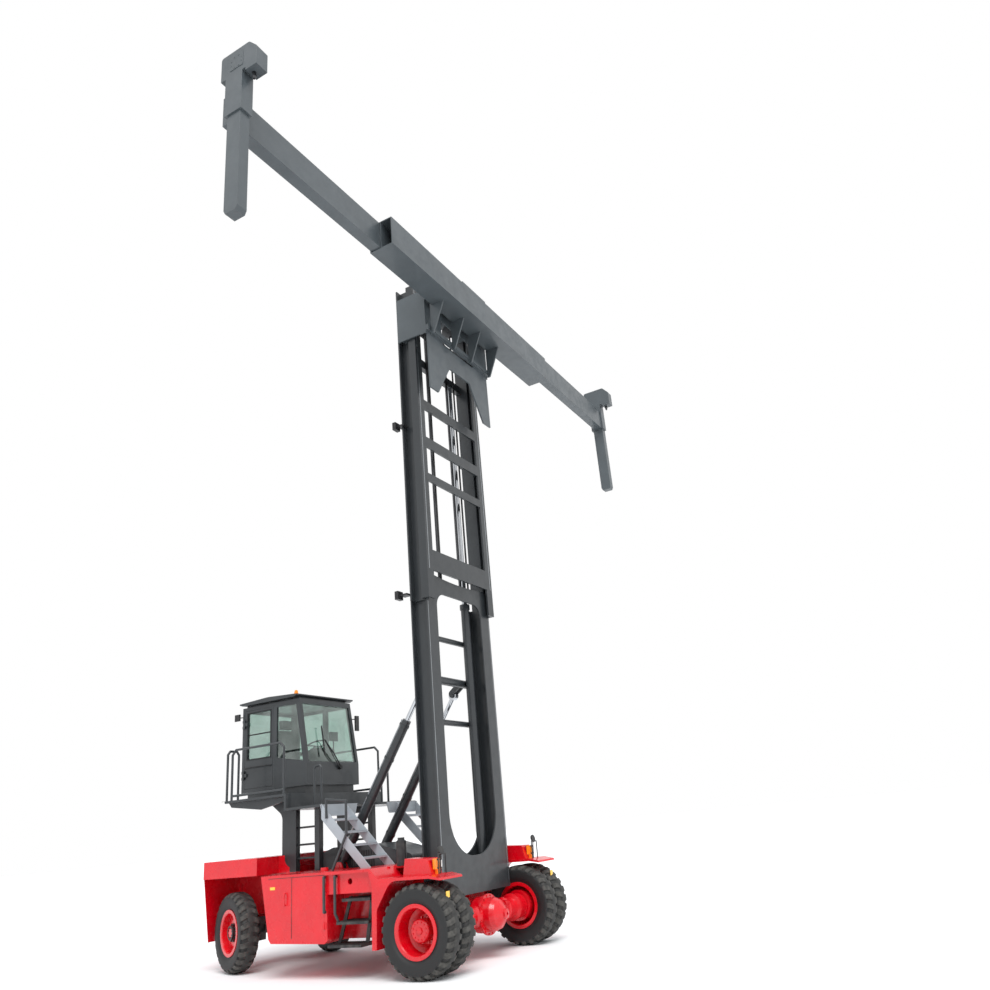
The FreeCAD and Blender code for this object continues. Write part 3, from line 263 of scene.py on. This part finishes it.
def colour(code):
    """Linear colour from an sRGB hex code."""
    parts = [int(code[i:i + 2], 16) / 255 for i in (1, 3, 5)]
    return tuple(c / 12.92 if c <= 0.04045 else ((c + 0.055) / 1.055) ** 2.4 for c in parts) + (1.0,)


def put(tree, kind, sockets=None, **settings):
    """Add a node, set its settings and fill its sockets with values or links."""
    node = tree.nodes.new(kind)
    for key, value in settings.items():
        setattr(node, key, value)
    for key, value in (sockets or {}).items():
        if isinstance(value, bpy.types.NodeSocket):
            tree.links.new(value, node.inputs[key])
        else:
            node.inputs[key].default_value = value
    return node


def mixed(tree, factor, a, b):
    """Colour between a and b."""
    return put(tree, "ShaderNodeMix", {0: factor, 6: a, 7: b}, data_type="RGBA").outputs[2]


def noise(tree, size_mm, detail=3.0, where=None):
    """Noise whose lumps are about size_mm across, read on Object coordinates."""
    where = where or put(tree, "ShaderNodeTexCoord").outputs["Object"]
    sockets = {"Vector": where, "Scale": 1000 / size_mm, "Detail": detail}
    return put(tree, "ShaderNodeTexNoise", sockets).outputs[0]


def ramped(tree, value, low, high, to_low=0.0, to_high=1.0):
    """Value brought from one range to another and kept inside it."""
    sockets = {"Value": value, "From Min": low, "From Max": high, "To Min": to_low, "To Max": to_high}
    return put(tree, "ShaderNodeMapRange", sockets).outputs[0]


def times(tree, a, b):
    """Product of two values."""
    return put(tree, "ShaderNodeMath", {0: a, 1: b}, operation="MULTIPLY").outputs[0]


def new_material(name):
    """Empty node material with its output."""
    material = bpy.data.materials.new(name)
    material.use_nodes = True
    tree = material.node_tree
    tree.nodes.clear()
    return material, tree, put(tree, "ShaderNodeOutputMaterial")


def surface(name, shade, roughness, metallic=0.0, coat=0.0, dust=0.0, grain_mm=3.0, bump=0.06,
            edge_mm=3.0):
    """Solid finish with a fine grain, uneven gloss, soft edges and dust that thins out with height."""
    material, tree, output = new_material(name)
    where = put(tree, "ShaderNodeTexCoord").outputs["Object"]
    height = put(tree, "ShaderNodeSeparateXYZ", {0: where}).outputs[2]
    patches = noise(tree, 420, 5.0, where)
    darker = tuple(c * 0.86 for c in colour(shade)[:3]) + (1,)
    base = mixed(tree, ramped(tree, patches, 0.35, 0.7), colour(shade), darker)
    if dust:
        lumps = ramped(tree, noise(tree, 90, 6.0, where), 0.42, 0.72)
        low = ramped(tree, height, 0.2, 2.2, dust, dust * 0.18)
        base = mixed(tree, times(tree, lumps, low), base, colour("#8F8A82"))
    gloss = ramped(tree, noise(tree, 150, 4.0, where), 0.3, 0.75, roughness * 0.8, min(1.0, roughness * 1.35))
    edge = put(tree, "ShaderNodeBevel", {"Radius": edge_mm / 1000}, samples=4).outputs[0]
    grain = put(tree, "ShaderNodeBump", {"Height": noise(tree, grain_mm, 2.0, where), "Strength": bump,
                                         "Distance": 0.001, "Normal": edge}).outputs[0]
    shader = put(tree, "ShaderNodeBsdfPrincipled", {
        "Base Color": base, "Roughness": gloss, "Metallic": metallic, "IOR": PAINT_IOR, "Normal": grain,
        "Coat Weight": coat, "Coat Roughness": 0.06, "Coat IOR": 1.5})
    tree.links.new(shader.outputs[0], output.inputs[0])
    return material


def rubber(name):
    """Tyre rubber: near black, grey and dusty where the wear value is high."""
    material, tree, output = new_material(name)
    where = put(tree, "ShaderNodeTexCoord").outputs["Object"]
    wear = put(tree, "ShaderNodeAttribute", attribute_name="wear").outputs["Fac"]
    lumps = ramped(tree, noise(tree, 60, 6.0, where), 0.35, 0.7, 0.35, 1.0)
    base = mixed(tree, times(tree, wear, lumps), colour("#191A1B"), colour("#55534F"))
    bumps = put(tree, "ShaderNodeBump", {"Height": noise(tree, 4, 4.0, where), "Strength": 0.25,
                                         "Distance": 0.001}).outputs[0]
    shader = put(tree, "ShaderNodeBsdfPrincipled", {
        "Base Color": base, "Roughness": ramped(tree, wear, 0, 1, 0.62, 0.85), "IOR": 1.52, "Normal": bumps})
    tree.links.new(shader.outputs[0], output.inputs[0])
    return material


def glass(name):
    """Flat safety glass: clear and faintly green, with a thin mirror that varies in patches."""
    material, tree, output = new_material(name)
    through = put(tree, "ShaderNodeBsdfTransparent", {0: colour("#DDE8E4")})
    mirror = put(tree, "ShaderNodeBsdfGlossy", {"Color": (0.9, 0.95, 0.93, 1), "Roughness": 0.0})
    smears = ramped(tree, noise(tree, 500, 2.0), 0.3, 0.8, 0.08, 0.2)
    mix = put(tree, "ShaderNodeMixShader", {0: smears, 1: through.outputs[0], 2: mirror.outputs[0]})
    tree.links.new(mix.outputs[0], output.inputs[0])
    return material


def lens(name, shade, glow):
    """Ribbed lens, lightly lit from within: the lamp's own light on lamp lenses, painted glow on reflectors.
    """
    material, tree, output = new_material(name)
    where = put(tree, "ShaderNodeTexCoord").outputs["Object"]
    ribs = put(tree, "ShaderNodeTexWave", {"Vector": where, "Scale": 60.0, "Distortion": 0.0})
    sockets = {"Height": ribs.outputs[1], "Strength": 0.3, "Distance": 0.001}
    bumps = put(tree, "ShaderNodeBump", sockets).outputs[0]
    shader = put(tree, "ShaderNodeBsdfPrincipled", {
        "Base Color": colour(shade), "Roughness": 0.12, "IOR": 1.49, "Normal": bumps,
        "Emission Color": colour(shade), "Emission Strength": glow, "Coat Weight": 0.5})
    tree.links.new(shader.outputs[0], output.inputs[0])
    return material


red = surface("gloss_red_enamel", "#DB0018", 0.26, coat=0.35, dust=0.05)
mast_paint = surface("satin_charcoal_enamel", "#2B2F32", 0.36, coat=0.2, dust=0.05)
cab_paint = surface("cab_charcoal_enamel", "#2F3336", 0.36, coat=0.15, dust=0.04)
grey_paint = surface("satin_grey_enamel", "#4C5357", 0.38, coat=0.15, dust=0.06)
step_paint = surface("black_enamel", "#1C1D1F", 0.42, dust=0.25)
rail_paint = surface("dark_grey_enamel", "#34383B", 0.34, coat=0.1, dust=0.08)
stair_paint = surface("light_grey_enamel", "#A9B0B6", 0.4, dust=0.14)
iron = surface("painted_cast_iron", "#2A2B2C", 0.6, grain_mm=6, bump=0.25, dust=0.3)
chrome = surface("hard_chrome", "#C9CCD0", 0.1, metallic=1.0, grain_mm=1.0, bump=0.01, edge_mm=1)
steel = surface("oiled_steel", "#5B5C5E", 0.35, metallic=1.0, grain_mm=2.0, bump=0.05, edge_mm=1)
bright_steel = surface("worn_bright_steel", "#A7ABAF", 0.3, metallic=1.0, bump=0.03, edge_mm=1)
trim = surface("black_grained_plastic", "#17181A", 0.55, grain_mm=1.5, bump=0.2, edge_mm=6)
hose = surface("black_rubber_hose", "#151516", 0.5, grain_mm=1.5, bump=0.1, edge_mm=1)
tyre_rubber = rubber("worn_tyre_rubber")
window = glass("pale_green_safety_glass")
amber = lens("amber_lamp_plastic", "#F28A1A", 0.25)
white_lens = lens("clear_lamp_plastic", "#EDEFEA", 0.2)
red_lens = lens("red_lamp_plastic", "#B3121B", 0.1)
# The reflectors hold no lamp, so their faint glow is painted light.
reflector_with_painted_glow = lens("yellow_reflector_plastic", "#F4C23A", 0.1)

NODE_MATERIALS = {
    red: "drive_axle chassis_frame counterweight side_tanks fenders rims_front_right rims_front_left "
         "rim_rear_right rim_rear_left",
    mast_paint: "mast_fixed mast_moving lift_barrels tilt_barrel_right tilt_barrel_left",
    cab_paint: "cab_support walkway cab_shell cab_roof door_leaf hood",
    grey_paint: "carriage spreader_frame beam_right beam_left",
    step_paint: "steer_axle entry_steps guards_and_mirrors knuckle_right knuckle_left",
    rail_paint: "railings",
    stair_paint: "stairs",
    iron: "engine",
    chrome: "lift_rods tilt_rod_right tilt_rod_left",
    steel: "lift_chains lock_pin_right lock_pin_left",
    trim: "cab_interior",
    window: "cab_glass door_glass",
    amber: "lamps",
    tyre_rubber: "tyres_front_right tyres_front_left tyre_rear_right tyre_rear_left",
}
for node_material, names in NODE_MATERIALS.items():
    for node_name in names.split():
        data = frame["nodes"][node_name].data
        data.materials.clear()
        data.materials.append(node_material)


# Wheels


def tyre(centre, axis):
    """Tyre turned about its axle. Over the section the angle a runs from bead to bead: width is
    half * sin(a)^(2/3) and radius is middle + height * cos(a)^(2/3), both with their signs.
    Grooves between the shoulder lugs sink towards the section's middle, and fine rings run round
    the walls. Also gives the wear of each point, high on lugs and crown."""
    a = np.linspace(-TYRE_SPAN, TYRE_SPAN, ACROSS)
    middle = TYRE_RADIUS - TYRE_HEIGHT
    width = TYRE_HALF * np.sign(np.sin(a)) * np.abs(np.sin(a)) ** (2 / 3)
    radius = middle + TYRE_HEIGHT * np.sign(np.cos(a)) * np.abs(np.cos(a)) ** (2 / 3)
    turn = np.arange(AROUND)[:, None] / AROUND
    phase = LUGS * turn + np.where(width > 0, 0.5, 0.0) + LUG_SWEEP * np.abs(width) / TYRE_HALF
    crest = smooth_step((np.abs((phase % 1) - 0.5) * 2 - GROOVE_SHARE) / GROOVE_FLANK)
    shoulder = smooth_step((np.abs(width) - CENTRE_RIB_HALF) / CENTRE_RIB_FLANK)
    shoulder = shoulder * smooth_step((SHOULDER_END - np.abs(a)) / SHOULDER_FLANK)
    sunk = LUG_DEPTH * shoulder * (1 - crest)
    inward = np.stack([-width, middle - radius]) / np.hypot(width, radius - middle)
    w = width + inward[0] * sunk
    r = radius + inward[1] * sunk
    ribs = WALL_RING_HEIGHT * np.sin(a * WALL_RING_RATE) * (np.abs(a) > WALL_RING_START)
    r = r + ribs * inward[1]
    ends = np.array([[BEAD_HALF, FLANGE_RADIUS], [BEAD_HALF, BEAD_RADIUS],
                     [-BEAD_HALF, BEAD_RADIUS], [-BEAD_HALF, FLANGE_RADIUS]])
    w = np.hstack([w, np.broadcast_to(ends[:, 0], (AROUND, 4))])
    r = np.hstack([r, np.broadcast_to(ends[:, 1], (AROUND, 4))])
    crown = CROWN_WEAR * (np.abs(a) < CROWN_END) * np.ones_like(crest)
    wear = np.hstack([shoulder * crest + crown, np.zeros((AROUND, 4))])
    axis = unit(axis)
    u, v = across(axis)
    spokes = np.cos(2 * np.pi * turn) * u + np.sin(2 * np.pi * turn) * v
    verts = np.asarray(centre) + w[:, :, None] * axis + r[:, :, None] * spokes[:, None]
    return (verts.reshape(-1, 3), [grid_faces(AROUND, ACROSS + 4)]), np.clip(wear, 0, 1).ravel()


def wheels():
    """Treaded tyres in place of the plain ones, with nuts and caps on each rim."""
    for side, sign in (("right", -1), ("left", 1)):
        spin = joints[f"wheel_front_{side}_spin"]
        centre, out = np.array(spin["pos_m"]), np.array([0.0, sign, 0.0])
        made = [tyre(centre + out * shift, out) for shift in (-TWIN_HALF, TWIN_HALF)]
        node = "tyres_front_" + side
        treaded = piece(node + "_treaded", [part for part, _ in made], tyre_rubber, "wheel_front_" + side,
                        values=np.concatenate([wear for _, wear in made]))
        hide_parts(node)
        face = np.array([AXLE_X, sign * 1.669, centre[2]])
        cap = [(-0.01, 0.001), (-0.01, 0.045), (0.016, 0.045), (0.024, 0.03), (0.024, 0.001)]
        nuts = [bolts(face, out, 0.112, 12, 0.011, 0.012),
                bolts(face - out * 0.155, out, 0.165, 10, 0.017, 0.03), lathe(face, out, cap)]
        piece("wheel_nuts_front_" + side, nuts, red, "wheel_front_" + side)
        ring = lathe(np.array([AXLE_X, sign * 1.752, centre[2]]), out,
                     [(0.0, 0.296), (0.0, 0.35), (0.012, 0.352), (0.018, 0.34), (0.016, 0.3)], 72)
        piece("lock_ring_front_" + side, ring, red, "wheel_front_" + side)
        spin = joints[f"wheel_rear_{side}_spin"]
        centre, out = np.array(spin["pos_m"]), sign * unit(spin["axis"])
        part, wear = tyre(centre, out)
        node = "tyre_rear_" + side
        treaded = piece(node + "_treaded", part, tyre_rubber, "wheel_rear_" + side,
                        values=wear)
        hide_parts(node)
        hub = [bolts(centre + out * 0.054, out, 0.128, 10, 0.015, 0.03),
               bolts(centre + out * 0.110, out, 0.075, 8, 0.009, 0.01),
               lathe(centre + out * 0.04, out,
                     [(-0.01, 0.085), (-0.01, 0.112), (0.075, 0.110), (0.078, 0.085)])]
        piece("wheel_nuts_rear_" + side, hub, step_paint, "wheel_rear_" + side)


# Chassis


def axle_bolts():
    """Bolt rings on the drive axle's flanges and on the differential's cover."""
    z = joints["wheel_front_right_spin"]["pos_m"][2]
    rings = [bolts(machine(0.125, 0, z), (1, 0, 0), 0.268, 16, 0.013, 0.014)]
    for y, circle, count in ((0.64, 0.156, 16), (0.90, 0.188, 18)):
        rings += both(bolts(machine(0, y, z), (0, 1, 0), circle, count, 0.012, 0.014))
    plug = [(-0.02, 0.02), (-0.02, 0.075), (0.02, 0.07), (0.03, 0.02)]
    rings.append(lathe(machine(0.41, 0, z), (1, 0, 0), plug))
    piece("axle_bolts", rings, red, "chassis")


def tank_fittings():
    """Door seams, hinges, handle and filler cap on the tanks, reflectors on tanks and fenders."""
    face_y, seam_y = -1.699, -1.703
    seam_x, seam_half = -2.30, 0.004
    seams = [spans(machine(seam_x - seam_half, seam_y, 0.56), machine(seam_x + seam_half, face_y, 1.40)),
             spans(machine(-2.78, seam_y, 1.395), machine(-1.64, face_y, 1.401))]
    piece("tank_seams", both(seams), step_paint, "chassis")

    pin_x, pin_y = -1.665, -1.712
    fittings = []
    for z in (0.72, 1.22):
        fittings.append(bars(machine(pin_x, pin_y, z - 0.05), machine(pin_x, pin_y, z + 0.05), 0.012))
        fittings.append(spans(machine(-1.70, -1.708, z - 0.04), machine(-1.63, face_y, z + 0.04)))
    cap = [(-0.01, 0.002), (-0.01, 0.06), (0.045, 0.06), (0.05, 0.05), (0.05, 0.002)]
    fittings.append(lathe(machine(-2.05, -1.25, 1.44), (0, 0, 1), cap))
    handle = [machine(-2.42, y, z) for y, z in ((-1.70, 1.18), (-1.735, 1.17), (-1.735, 1.03), (-1.70, 1.02))]
    fittings.append(tube(handle, 0.009))
    piece("tank_hinges", both(fittings), red, "chassis")

    # Reflectors on tanks and fenders, with a faint painted glow from their lens material.
    reflectors = [spans(machine(-2.74, -1.706, 1.24), machine(-2.64, -1.698, 1.28)),
                  spans(machine(0.435, -1.62, 1.0), machine(0.442, -1.54, 1.08))]
    piece("side_reflectors", both(reflectors), reflector_with_painted_glow, "chassis")


def rear_fittings():
    """Radiator slats and lamps on the counterweight's back."""
    slats = [spans(machine(-4.934, -0.55, z), machine(-4.90, 0.55, z + 0.012))
             for z in np.arange(1.10, 1.56, 0.035)]
    slats += [spans(machine(-4.938, y - 0.012, 1.08), machine(-4.90, y + 0.012, 1.57))
              for y in (-0.56, 0, 0.56)]
    piece("radiator_slats", slats, step_paint, "chassis")
    # name, place across, radius at the wall, radius at the lens, material
    for name, y, wall, rim, material in (("rear_lamps", -0.82, 0.06, 0.055, red_lens),
                                         ("rear_turn_lamps", -0.98, 0.05, 0.045, amber)):
        outline = [(0, 0.002), (0, wall), (0.02, rim), (0.026, 0.002)]
        lamp = lathe(machine(-4.925, y, 1.42), (-1, 0, 0), outline)
        piece(name, both(lamp), material, "chassis")


def treads():
    """Raised studs on the platform and landing, teeth on the stairs and entry steps."""
    studs = []
    for x0, x1, z in ((-4.36, -2.92, 2.66), (-2.82, -2.12, 2.43)):
        studs += both(pattern((x0, x1), (-1.22, -0.70), z + 0.0015, PLATE_STEP, PLATE_STUD))
    piece("platform_studs", studs, cab_paint, "chassis")
    teeth = []
    for i in range(1, 5):
        x0, z = -2.08 + i * 0.192, 2.43 - i * 0.198 - 0.05
        teeth.append(pattern((x0 - 0.12, x0 + 0.06), (-1.25, -0.70), z + 0.003, STAIR_STEP, STAIR_TOOTH))
    piece("stair_teeth", both(teeth), stair_paint, "chassis")
    teeth = []
    for x0, x1, z in ((-1.61, -1.01, 0.46), (-1.44, -0.87, 0.76), (-1.33, -0.83, 1.06)):
        teeth.append(pattern((x0, x1), (-1.68, -1.36), z + 0.003, ENTRY_STEP, ENTRY_TOOTH))
    piece("step_teeth", both(teeth), step_paint, "chassis")


def hood_louvres():
    """Air slats on both flanks of the hood, and the air filter on the right deck."""
    x = np.arange(-2.50, -1.72, 0.05)
    spots = np.stack([x + AXLE_X, np.full(x.size, -0.413), np.full(x.size, 1.55)], 1)
    piece("hood_louvres", both(blocks(spots, (0.022, 0.012, 0.26))), step_paint, "chassis")
    outline = [(-0.01, 0.002), (-0.01, 0.075), (0.33, 0.075), (0.35, 0.05), (0.38, 0.05), (0.38, 0.002)]
    piece("air_filter", lathe(machine(-0.60, -1.20, 1.44), (0, 0, 1), outline), step_paint, "chassis")


def fender_lamps():
    """Amber and clear lenses in dark housings on the front fenders."""
    ambers, clears, rims = [], [], []
    for sign in (-1, 1):
        y = sign * 1.40
        for shift, store in ((-0.028, ambers), (0.038, clears)):
            middle = y + shift
            store.append(spans(machine(0.201, middle - 0.022, 1.385), machine(0.208, middle + 0.022, 1.475)))
            rims.append(spans(machine(0.125, middle - 0.030, 1.365), machine(0.2005, middle + 0.030, 1.497)))
    piece("turn_lenses", ambers, amber, "chassis")
    piece("side_lamp_lenses", clears, white_lens, "chassis")
    piece("lamp_housings", rims, step_paint, "chassis")


# Cab


def seal(x0, x1, z0, z1, y, width=0.022, proud=0.006):
    """Four strips of rubber round an upright opening."""
    return [spans(machine(x0 - width, y - proud, z0 - width), machine(x0, y + proud, z1 + width)),
            spans(machine(x1, y - proud, z0 - width), machine(x1 + width, y + proud, z1 + width)),
            spans(machine(x0, y - proud, z0 - width), machine(x1, y + proud, z0)),
            spans(machine(x0, y - proud, z1), machine(x1, y + proud, z1 + width))]


def window_seals():
    """Rubber round the left window and the door's pane, the door's bar and rail, and the wiper."""
    piece("cab_seals", seal(-4.37, -3.74, 3.375, 4.21, 0.69), trim, "chassis")
    bar = bars(machine(-4.345, -0.672, 3.80), machine(-3.785, -0.672, 3.80), 0.012)
    rail_path = ((-4.36, -0.69), (-4.34, -0.73), (-3.80, -0.73), (-3.78, -0.69))
    rail = tube([machine(x, y, 3.22) for x, y in rail_path], 0.010)
    piece("door_seals", seal(-4.345, -3.785, 3.375, 4.18, -0.69) + [bar, rail], trim, "door")

    lean = unit(np.array([-0.18, 0, 1.135]))
    out = unit(np.array([1.135, 0, 0.18]))
    side_step = np.array([0, -0.05, 0])
    pivot = machine(-2.905, 0.15, 3.10)
    elbow = pivot + lean * 0.46 + out * 0.05 + [0, -0.36, 0]
    arm = [pivot + out * 0.03, (pivot + elbow) / 2 + out * 0.03, elbow]
    second_arm = [arm[0] + side_step, arm[1] + side_step, elbow]
    blade = [elbow + side_step - lean * 0.26, elbow + side_step + lean * 0.26]
    wiper = [bars(pivot - out * 0.02, pivot + out * 0.035, 0.04), tube(arm, 0.011), tube(second_arm, 0.008),
             bars(elbow, elbow + [0, -0.06, 0], 0.012), tube(blade, 0.013, 6)]
    piece("wiper", wiper, trim, "chassis")


def cab_fittings():
    """Headrest, armrests and the driver's screen."""
    rest = [spans(machine(-4.12, -0.13, 3.90), machine(-4.03, 0.13, 4.06))]
    rest += [bars(machine(-4.08, y, 3.84), machine(-4.08, y, 3.92), 0.008) for y in (-0.06, 0.06)]
    rest += [spans(machine(-3.95, y, 3.42), machine(-3.60, y + 0.06, 3.48)) for y in (-0.31, 0.25)]
    piece("headrest", rest, trim, "chassis")
    screen = [spans(machine(-3.20, 0.20, 3.60), machine(-3.17, 0.42, 3.76)),
              bars(machine(-3.185, 0.31, 3.30), machine(-3.185, 0.31, 3.62), 0.012)]
    piece("dash_screen", screen, trim, "chassis")


# Mast and spreader


def mast_fittings():
    """Bright roller tracks, hoses and pipes on the rails, work lamps and chain pins."""
    tracks = [spans(machine(-0.0402, s * 0.955, 1.0), machine(-0.0385, s * 0.968, 5.85)) for s in (-1, 1)]
    piece("fixed_tracks", tracks, bright_steel, "mast_fixed")
    tracks = [spans(machine(0.0448, s * 0.975, 5.95), machine(0.0462, s * 0.992, 11.50)) for s in (-1, 1)]
    tracks += [spans(machine(-0.336, s * 1.0, 5.95), machine(-0.3345, s * 1.02, 11.50)) for s in (-1, 1)]
    piece("moving_tracks", tracks, bright_steel, "mast_moving")
    hose_path = ((-0.10, 5.75), (-0.10, 7.0), (-0.10, 9.0), (-0.10, 11.2), (-0.12, 11.40))
    hoses = [tube([machine(x, y, z) for x, z in hose_path], 0.011) for y in (-0.445, -0.42, 0.42, 0.445)]
    piece("mast_hoses", hoses, hose, "mast_moving")
    pipes = [tube([machine(-0.34, y, z) for z in (1.3, 3.0, 5.5)], 0.010) for y in (-0.72, -0.69, 0.69, 0.72)]
    piece("mast_pipes", pipes, mast_paint, "mast_fixed")
    # name, body, back of the lamps along X, height
    for name, body, x, z in (("upper", "mast_moving", -0.40, 8.68), ("lower", "mast_fixed", -0.50, 5.57)):
        shell, face = [], []
        for s in (-1, 1):
            y = s * 1.08
            shell.append(spans(machine(x - 0.07, y - 0.07, z - 0.07), machine(x, y + 0.07, z + 0.07)))
            shell.append(spans(machine(x, s * 0.96, z - 0.015), machine(x + 0.14, s * 1.10, z + 0.015)))
            face.append(spans(machine(x - 0.076, y - 0.06, z - 0.06), machine(x - 0.07, y + 0.06, z + 0.06)))
        piece("work_lamps_" + name, shell, step_paint, body)
        piece("work_lenses_" + name, face, white_lens, body)
    z = np.arange(5.72, 11.25, 0.038)
    pins = []
    for y in (-0.33, 0.33):
        start = np.stack([np.full(z.size, -0.20 + AXLE_X), np.full(z.size, y - 0.028), z], 1)
        pins.append(bars(start, start + [0, 0.056, 0], 0.009, 8))
    piece("chain_pins", pins, steel, "mast_moving")


def tilt_fittings():
    """Pipe along each tilt barrel and the clamps that hold it."""
    clamp_places = (0.5, 1.2, 1.9, 2.5)
    band = [(-0.02, 0.0725), (-0.02, 0.08), (0.02, 0.08), (0.02, 0.0725)]
    for side in ("right", "left"):
        along = unit(joints[f"tilt_rod_{side}_stroke"]["axis"])
        eye = np.array(joints[f"tilt_barrel_{side}_pivot"]["pos_m"])
        up = np.array([-along[2], 0, along[0]])
        start, end = eye + along * 0.25 + up * 0.095, eye + along * 2.55 + up * 0.095
        stub = up * 0.03
        pipe = tube([start - stub, start, start + along * 0.2, end - along * 0.2, end, end - stub], 0.012)
        turn = np.stack([along, [0, 1, 0], up])
        clamps = [lathe(eye + along * d, along, band, 40) for d in clamp_places]
        clamps += [blocks([eye + along * d + up * 0.09], (0.04, 0.03, 0.03), turn) for d in clamp_places]
        piece("tilt_pipe_" + side, pipe, bright_steel, "tilt_barrel_" + side)
        piece("tilt_clamps_" + side, clamps, mast_paint, "tilt_barrel_" + side)


def spreader_fittings():
    """Valve chest and hoses on the centre frame, bolted covers on the end heads."""
    chest = [spans(machine(0.52, -0.42, 11.50), machine(0.80, 0.42, 11.68)),
             spans(machine(0.55, 0.6, 11.50), machine(0.78, 0.95, 11.62))]
    piece("valve_chest", chest, grey_paint, "spreader_frame")
    lines = []
    for i, y in enumerate((-0.30, -0.22, 0.22, 0.30)):
        path = [machine(0.56, y, 11.66), machine(0.50, y * 1.2, 11.78), machine(0.46, y * 1.6, 11.66),
                machine(0.47, y * 2.0, 11.53), machine(0.48, y * (6 + i * 0.3), 11.515)]
        lines.append(tube(path, 0.013))
    piece("spreader_hoses", lines, hose, "spreader_frame")
    for side, sign in (("right", -1), ("left", 1)):
        cap = [bolts(machine(0.80, sign * 6.092, 11.86), (0, sign, 0), 0.10, 8, 0.011, 0.010),
               spans(machine(0.68, sign * 6.085, 11.74), machine(0.92, sign * 6.098, 11.98))]
        piece("head_cover_" + side, cap, grey_paint, "beam_" + side)


def floor_and_light():
    """Pale floor that meets a white backdrop, an even sky and one broad sun."""
    material, tree, output = new_material("pale_floor")
    grain = noise(tree, 700, 4.0)
    shade = mixed(tree, grain, colour("#F6F6F6"), colour("#FAFAFA"))
    shader = put(tree, "ShaderNodeBsdfPrincipled", {"Base Color": shade, "Roughness": 0.9,
                                                    "Specular IOR Level": 0.1})
    tree.links.new(shader.outputs[0], output.inputs[0])
    mesh = bpy.data.meshes.new("floor")
    reach = 400.0
    corners = [(-reach, -reach, 0), (reach, -reach, 0), (reach, reach, 0), (-reach, reach, 0)]
    mesh.from_pydata(corners, [], [(0, 1, 2, 3)])
    mesh.materials.append(material)
    floor = bpy.data.objects.new("floor", mesh)
    bpy.context.scene.collection.objects.link(floor)

    world = bpy.data.worlds.new("white_studio")
    world.use_nodes = True
    tree = world.node_tree
    tree.nodes.clear()
    path = put(tree, "ShaderNodeLightPath")
    seen = put(tree, "ShaderNodeMath", {0: path.outputs["Is Camera Ray"],
                                        1: path.outputs["Is Transmission Ray"]}, operation="MAXIMUM")
    seen = put(tree, "ShaderNodeMath", {0: seen.outputs[0], 1: path.outputs["Is Glossy Ray"]},
               operation="MAXIMUM")
    sky = put(tree, "ShaderNodeBackground", {"Color": (0.94, 0.97, 1.0, 1), "Strength": 0.85})
    white = put(tree, "ShaderNodeBackground", {"Color": (1, 1, 1, 1), "Strength": 1.0})
    mix = put(tree, "ShaderNodeMixShader", {0: seen.outputs[0], 1: sky.outputs[0], 2: white.outputs[0]})
    put(tree, "ShaderNodeOutputWorld", {0: mix.outputs[0]})
    bpy.context.scene.world = world

    sun_data = bpy.data.lights.new("broad_sun", "SUN")
    sun_data.energy = 2.2
    sun_data.angle = math.radians(35)
    sun = bpy.data.objects.new("broad_sun", sun_data)
    sun.rotation_euler = Vector((-0.45, 0.55, -1.0)).to_track_quat("-Z", "Y").to_euler()
    bpy.context.scene.collection.objects.link(sun)


def camera():
    """Camera at the photograph's station: looking along yaw and pitch, then rolled."""
    yaw, pitch, roll = (math.radians(v) for v in (CAMERA_YAW, CAMERA_PITCH, CAMERA_ROLL))
    ahead = np.array([math.cos(yaw) * math.cos(pitch), math.sin(yaw) * math.cos(pitch), math.sin(pitch)])
    level = np.array([math.sin(yaw), -math.cos(yaw), 0.0])
    rise = np.cross(level, ahead)
    right = math.cos(roll) * level + math.sin(roll) * rise
    up = -math.sin(roll) * level + math.cos(roll) * rise
    data = bpy.data.cameras.new("photo_camera")
    data.lens = CAMERA_LENS
    data.sensor_width = 36
    data.shift_x, data.shift_y = CAMERA_SHIFT
    data.clip_end = 2000
    made = bpy.data.objects.new("photo_camera", data)
    pose = np.eye(4)
    pose[:3, 0], pose[:3, 1], pose[:3, 2], pose[:3, 3] = right, up, -ahead, CAMERA_PLACE
    made.matrix_world = Matrix(pose.tolist())
    bpy.context.scene.collection.objects.link(made)
    bpy.context.scene.camera = made


wheels()
axle_bolts()
tank_fittings()
rear_fittings()
treads()
hood_louvres()
fender_lamps()
window_seals()
cab_fittings()
mast_fittings()
tilt_fittings()
spreader_fittings()
floor_and_light()
camera()
bpy.context.scene.view_settings.view_transform = "Standard"
